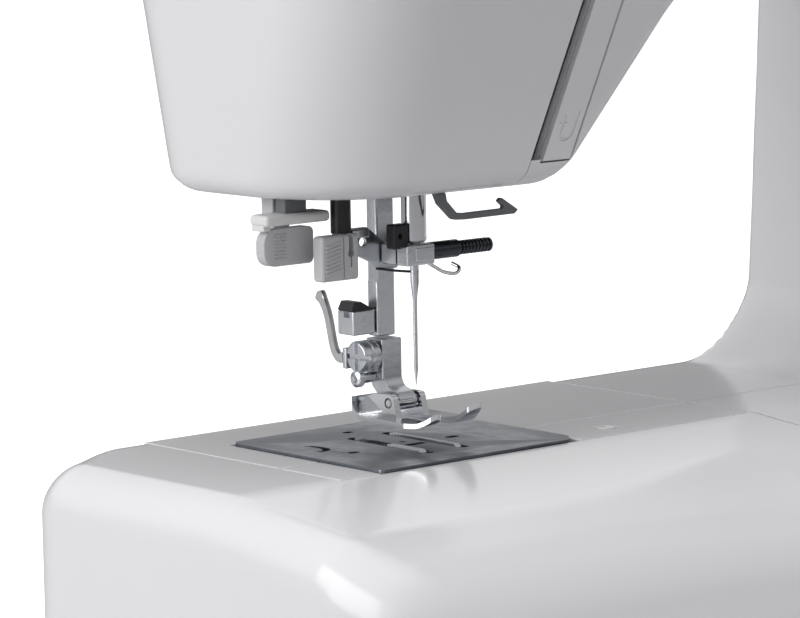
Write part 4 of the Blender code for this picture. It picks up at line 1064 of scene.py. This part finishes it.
def make_controls():
    for name, x, z, radius, _, _, count in DIALS:
        dial_ticks(name + "_marks", x, z, radius, count)
    for name, x, z, radius, depth, ribs, _ in DIALS:
        knob(name + "_wheel", x, z, radius, depth, ribs, name + "_dial")
    button = turned([(0, 0), (9, 0), (9, 9.4), (8.3, 10.5), (7.2, 11), (3, 10.5), (0, 10.3)], "-Y",
                    (215, -41, 64), 64)
    piece("reverse_key", button, "grey_trim", "reverse_button", ["reverse_button"], 0)
    wheel = turned(
        [(0, 24), (17, 24), (18, 23.2), (19, 23.2), (20, 24), (23, 24), (28, 22.6), (31, 20.4), (32.6, 18),
         (33, 16),
         (33, 6.5), (32.5, 5), (30.6, 2.8), (29, 2), (10, 2), (9, 0), (0, 0)], "X", (291, 0, 160), 96)
    notches = []
    for i in range(24):
        turn = Matrix.Rotation(2 * math.pi * i / 24, 4, "X")
        notch = block((298, -1.0, 32.4), (310, 1.0, 36))
        notch.data.transform(Matrix.Translation((0, 0, 160)) @ turn)
        notches.append(notch)
    carve(wheel, gather(*notches), rod((286, 0, 160), "X", 17.4, 6.3, 40, 0.01))
    piece("hand_wheel", wheel, "gloss_shell", "main_shaft", ["handwheel"], 0.3, 2)
    z = BODY_TOP + 5.2
    bend = [(0, 7), (0.6, 4.4), (2.2, 2.2), (4.4, 0.6), (7, 0)]
    left = [(60 + inwards, -17 + back, z) for inwards, back in bend]
    right = [(190 - inwards, -17 + back, z) for inwards, back in reversed(bend)]
    grip = sweep([(60, 38, z), (60, 20, z), *left, (125, -17, z), *right, (190, 20, z), (190, 38, z)], 4.0,
                 32)
    piece("carrying_handle", grip, "gloss_shell", "carry_handle", ["carry_handle"], 0.8, 3)
    pin = turned([(0, 152), (2.6, 152), (3, 152.4), (3, 213), (6, 213), (6, 214.4), (5.4, 215), (3, 215),
                  (2.6, 219),
                  (1.6, 220), (0, 220)], "Z", (205, 28, 0), 40)
    piece("spool_post", pin, "satin_white", "spool_pin", ["spool_pin"], 0)
    winder = turned([(0, 198), (2.6, 198), (3, 198.4), (3, 213), (7, 213), (7, 214.4), (6.4, 215),
                     (2.6, 215.4),
                     (2.4, 219), (1.6, 220), (0, 220)], "Z", (258, 18, 0), 40)
    piece("winder_post", winder, "satin_white", "winder_spindle", ["winder_spindle"], 0)
    rocker = prism(rounded([(284, -31, 0.5), (291.2, -31, 1), (290.2, -20, 3), (291.5, -9, 1),
                            (284, -9, 0.5)], 4), "XY",
                   -37.5, -23)
    piece("rocker_switch", rocker, "black_plastic", "power_switch", ["power_switch"], 0.5, 3)


CAD_FINISH = {
    "plated_steel": ("connecting_rod", "main_shaft", "lower_shaft", "shuttle_hook", "bobbin",
                     "take_up_lever",
                     "motor_pulley", "bobbin_case"),
    "cast_iron": ("feed_bar", "motor"),
    "rubber": ("timing_belt", "motor_belt", "foot_front_left", "foot_rear_left", "foot_front_right",
               "foot_rear_right"),
    "black_plastic": ("presser_lifter", "power_inlet"),
    "gloss_shell": ("base_tray", "free_arm_shell"),
}


def finish_cad_nodes():
    """Procedural finishes on the frame's own solids, which keep their shape."""
    for name, nodes in CAD_FINISH.items():
        for node in nodes:
            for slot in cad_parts[node].material_slots:
                slot.material = finish(name)


# ---------------------------------------------------------------- stage
CAMERA_AT, CAMERA_YAW, CAMERA_PITCH, CAMERA_ROLL = (-579.3, -665.0, 150.3), 49.17, 7.64, -0.94
LENS = 171.0
FLOOR_Z = TABLE_BOTTOM - 4.2


def make_camera():
    yaw, pitch, roll = (math.radians(angle) for angle in (CAMERA_YAW, CAMERA_PITCH, CAMERA_ROLL))
    ahead = Vector((math.cos(pitch) * math.cos(yaw), math.cos(pitch) * math.sin(yaw), -math.sin(pitch)))
    side = ahead.cross(Vector((0, 0, 1))).normalized()
    up = side.cross(ahead)
    right = side * math.cos(roll) + up * math.sin(roll)
    above = up * math.cos(roll) - side * math.sin(roll)
    camera = bpy.data.objects.new("camera", bpy.data.cameras.new("camera"))
    bpy.context.scene.collection.objects.link(camera)
    turn = Matrix((right, above, -ahead)).transposed().to_4x4()
    camera.matrix_world = Matrix.Translation(Vector(CAMERA_AT) * MM + ORIGIN) @ turn
    camera.data.lens = LENS
    camera.data.sensor_width = 36
    camera.data.clip_start = 0.05
    camera.data.clip_end = 20
    bpy.context.scene.camera = camera


def area_light(name, at, towards, size, power, colour=(1, 1, 1)):
    light = bpy.data.lights.new(name, "AREA")
    light.shape = "RECTANGLE"
    light.size, light.size_y = size
    light.energy = power
    light.color = colour
    obj = bpy.data.objects.new(name, light)
    bpy.context.scene.collection.objects.link(obj)
    start = Vector(at) * MM + ORIGIN
    obj.location = start
    aim = Vector(towards) * MM + ORIGIN - start
    obj.rotation_euler = aim.to_track_quat("-Z", "Y").to_euler()
    obj.visible_camera = False
    return obj


def make_sky():
    """A soft studio surround: dim near the horizon and brighter above it."""
    world = bpy.data.worlds.new("studio")
    bpy.context.scene.world = world
    world.use_nodes = True
    tree = world.node_tree
    direction = tree.nodes.new("ShaderNodeTexCoord")
    split = tree.nodes.new("ShaderNodeSeparateXYZ")
    tree.links.new(direction.outputs["Generated"], split.inputs[0])
    ramp = tree.nodes.new("ShaderNodeValToRGB")
    stops = ((0.0, 0.17), (0.1, 0.14), (0.2, 0.3), (0.36, 0.5), (1.0, 0.32))
    ramp.color_ramp.elements[0].position = stops[0][0]
    ramp.color_ramp.elements[0].color = (*[stops[0][1]] * 3, 1)
    ramp.color_ramp.elements[1].position = stops[-1][0]
    ramp.color_ramp.elements[1].color = (*[stops[-1][1]] * 3, 1)
    for position, value in stops[1:-1]:
        ramp.color_ramp.elements.new(position).color = (value, value, value, 1)
    tree.links.new(split.outputs["Z"], ramp.inputs["Fac"])
    facing = tree.nodes.new("ShaderNodeVectorMath")
    facing.operation = "DOT_PRODUCT"
    facing.inputs[1].default_value = (0.65, 0.76, 0.0)
    tree.links.new(direction.outputs["Generated"], facing.inputs[0])
    rise = tree.nodes.new("ShaderNodeMapRange")
    rise.interpolation_type = "SMOOTHSTEP"
    rise.inputs["From Min"].default_value = 0.18
    rise.inputs["From Max"].default_value = 0.32
    tree.links.new(split.outputs["Z"], rise.inputs["Value"])
    ahead = math_node(tree, "MAXIMUM", facing.outputs["Value"], 0.0)
    glow = math_node(tree, "MULTIPLY", math_node(tree, "POWER", ahead, 2.0), rise.outputs["Result"])
    both = math_node(tree, "ADD", ramp.outputs["Color"], math_node(tree, "MULTIPLY", glow, 0.4))
    tree.links.new(both, tree.nodes["Background"].inputs["Color"])
    tree.nodes["Background"].inputs["Strength"].default_value = 1.0


def make_stage():
    material = bpy.data.materials.new("studio_floor")
    material.use_nodes = True
    shader = material.node_tree.nodes["Principled BSDF"]
    shader.inputs["Base Color"].default_value = (0.5, 0.5, 0.505, 1)
    shader.inputs["Roughness"].default_value = 0.9
    shader.inputs["Specular IOR Level"].default_value = 0.1
    shader.inputs["Emission Color"].default_value = (1, 1, 1, 1)
    rays = material.node_tree.nodes.new("ShaderNodeLightPath")
    material.node_tree.links.new(rays.outputs["Is Camera Ray"], shader.inputs["Emission Strength"])
    bm = bmesh.new()
    bmesh.ops.create_grid(bm, x_segments=2, y_segments=2, size=6.0)
    mesh = bpy.data.meshes.new("floor")
    bm.to_mesh(mesh)
    bm.free()
    floor = bpy.data.objects.new("floor", mesh)
    floor.location = (ORIGIN.x, ORIGIN.y, ORIGIN.z + FLOOR_Z * MM)
    bpy.context.scene.collection.objects.link(floor)
    mesh.materials.append(material)
    make_sky()
    area_light("window_left", (-950, 250, 330), (0, 0, 90), (0.8, 0.8), 6.2)
    key = area_light("key_front", (-350, -950, 750), (50, 0, 20), (1.5, 1.0), 0.9)
    key.visible_glossy = False
    area_light("overhead", (20, -150, 1200), (20, -60, 0), (0.6, 0.6), 6.3).visible_glossy = False
    bpy.context.scene.view_settings.view_transform = "Standard"


# ---------------------------------------------------------------- add-on
class SewingSizes(bpy.types.PropertyGroup):
    """Sizes a user may change before the pieces are built."""

    net_step: bpy.props.FloatProperty(
        name="Casing mesh spacing", description="Distance between the points of the casings' mesh",
        default=NET_STEP * MM, min=0.001, max=0.01, subtype="DISTANCE", unit="LENGTH",
    )
    casing_wall: bpy.props.FloatProperty(
        name="Casing wall", description="Thickness of the moulded casings", default=CASING_WALL * MM,
        min=0.001, max=0.01, subtype="DISTANCE", unit="LENGTH",
    )


def colour_property(name, description, finish_name):
    return bpy.props.FloatVectorProperty(
        name=name, description=description, default=FINISHES[finish_name]["colour"], size=3,
        min=0.0, max=1.0, subtype="COLOR",
    )


class SewingColours(bpy.types.PropertyGroup):
    """Colours a user may change before the pieces are built."""

    shell: colour_property("Casings", "Gloss plastic of the casings and the table", "gloss_shell")
    white_trim: colour_property("White trim", "Satin plastic of the small white pieces", "satin_white")
    grey_trim: colour_property("Grey trim", "Plastic of the dials and the ribbed levers", "grey_trim")
    dark_trim: colour_property("Dark trim", "Plastic of the thread hook", "hook_grey")
    needle_plate: colour_property("Needle plate", "Metal of the needle plate", "plate_steel")


class SEWING_OT_casings(bpy.types.Operator):
    """Builds the moulded casings and the extension table"""

    bl_idname = "sewing.casings"
    bl_label = "Casings and table"

    def execute(self, context):
        make_casings(context.scene.sewing_sizes)
        return {"FINISHED"}


class SEWING_OT_free_arm(bpy.types.Operator):
    """Builds the covers of the free arm and the storage flap"""

    bl_idname = "sewing.free_arm"
    bl_label = "Free arm covers"

    def execute(self, context):
        make_free_arm()
        return {"FINISHED"}


class SEWING_OT_plate(bpy.types.Operator):
    """Builds the needle plate and the feed teeth"""

    bl_idname = "sewing.plate"
    bl_label = "Needle plate and feed"

    def execute(self, context):
        make_plate()
        return {"FINISHED"}


class SEWING_OT_needle(bpy.types.Operator):
    """Builds the needle bar, its clamp and screw, and the needle"""

    bl_idname = "sewing.needle"
    bl_label = "Needle group"

    def execute(self, context):
        make_needle()
        return {"FINISHED"}


class SEWING_OT_presser(bpy.types.Operator):
    """Builds the presser bar, the ankle and the foot"""

    bl_idname = "sewing.presser"
    bl_label = "Presser group"

    def execute(self, context):
        make_presser()
        return {"FINISHED"}


class SEWING_OT_threader(bpy.types.Operator):
    """Builds the needle threader and the buttonhole lever"""

    bl_idname = "sewing.threader"
    bl_label = "Threader and buttonhole lever"

    def execute(self, context):
        make_threader()
        return {"FINISHED"}


class SEWING_OT_head_fittings(bpy.types.Operator):
    """Builds the thread guide tongue, the lamp and what closes the head's underside"""

    bl_idname = "sewing.head_fittings"
    bl_label = "Head fittings"

    def execute(self, context):
        make_head_fittings()
        return {"FINISHED"}


class SEWING_OT_controls(bpy.types.Operator):
    """Builds the dials, the reverse key, the handwheel and the carrying handle"""

    bl_idname = "sewing.controls"
    bl_label = "Controls"

    def execute(self, context):
        make_controls()
        return {"FINISHED"}


class SEWING_OT_finishes(bpy.types.Operator):
    """Gives the frame's own solids their finishes"""

    bl_idname = "sewing.finishes"
    bl_label = "Frame finishes"

    def execute(self, context):
        finish_cad_nodes()
        return {"FINISHED"}


class SEWING_OT_stage(bpy.types.Operator):
    """Sets the floor, the lights and the camera"""

    bl_idname = "sewing.stage"
    bl_label = "Stage"

    def execute(self, context):
        make_camera()
        make_stage()
        return {"FINISHED"}


class SEWING_PT_panel(bpy.types.Panel):
    """Lists the sizes, the colours and the build steps in the sidebar"""

    bl_idname = "SEWING_PT_panel"
    bl_label = "Sewing machine"
    bl_space_type = "VIEW_3D"
    bl_region_type = "UI"
    bl_category = "Sewing"

    def draw(self, context):
        for group in (context.scene.sewing_sizes, context.scene.sewing_colours):
            for name in group.__annotations__:
                self.layout.prop(group, name)
        for operator in OPERATORS:
            self.layout.operator(operator.bl_idname)


OPERATORS = (
    SEWING_OT_casings, SEWING_OT_free_arm, SEWING_OT_plate, SEWING_OT_needle, SEWING_OT_presser,
    SEWING_OT_threader, SEWING_OT_head_fittings, SEWING_OT_controls, SEWING_OT_finishes, SEWING_OT_stage,
)


def register():
    bpy.utils.register_class(SewingSizes)
    bpy.types.Scene.sewing_sizes = bpy.props.PointerProperty(type=SewingSizes)
    bpy.utils.register_class(SewingColours)
    bpy.types.Scene.sewing_colours = bpy.props.PointerProperty(type=SewingColours)
    for item in (*OPERATORS, SEWING_PT_panel):
        bpy.utils.register_class(item)


def unregister():
    for item in (SEWING_PT_panel, *reversed(OPERATORS)):
        bpy.utils.unregister_class(item)
    del bpy.types.Scene.sewing_colours
    bpy.utils.unregister_class(SewingColours)
    del bpy.types.Scene.sewing_sizes
    bpy.utils.unregister_class(SewingSizes)


def main():
    register()
    SHARED["finishes"] = Finishes()
    for operator in OPERATORS:
        getattr(bpy.ops.sewing, operator.bl_idname.split(".")[1])()


if __name__ == "__main__":
    main()
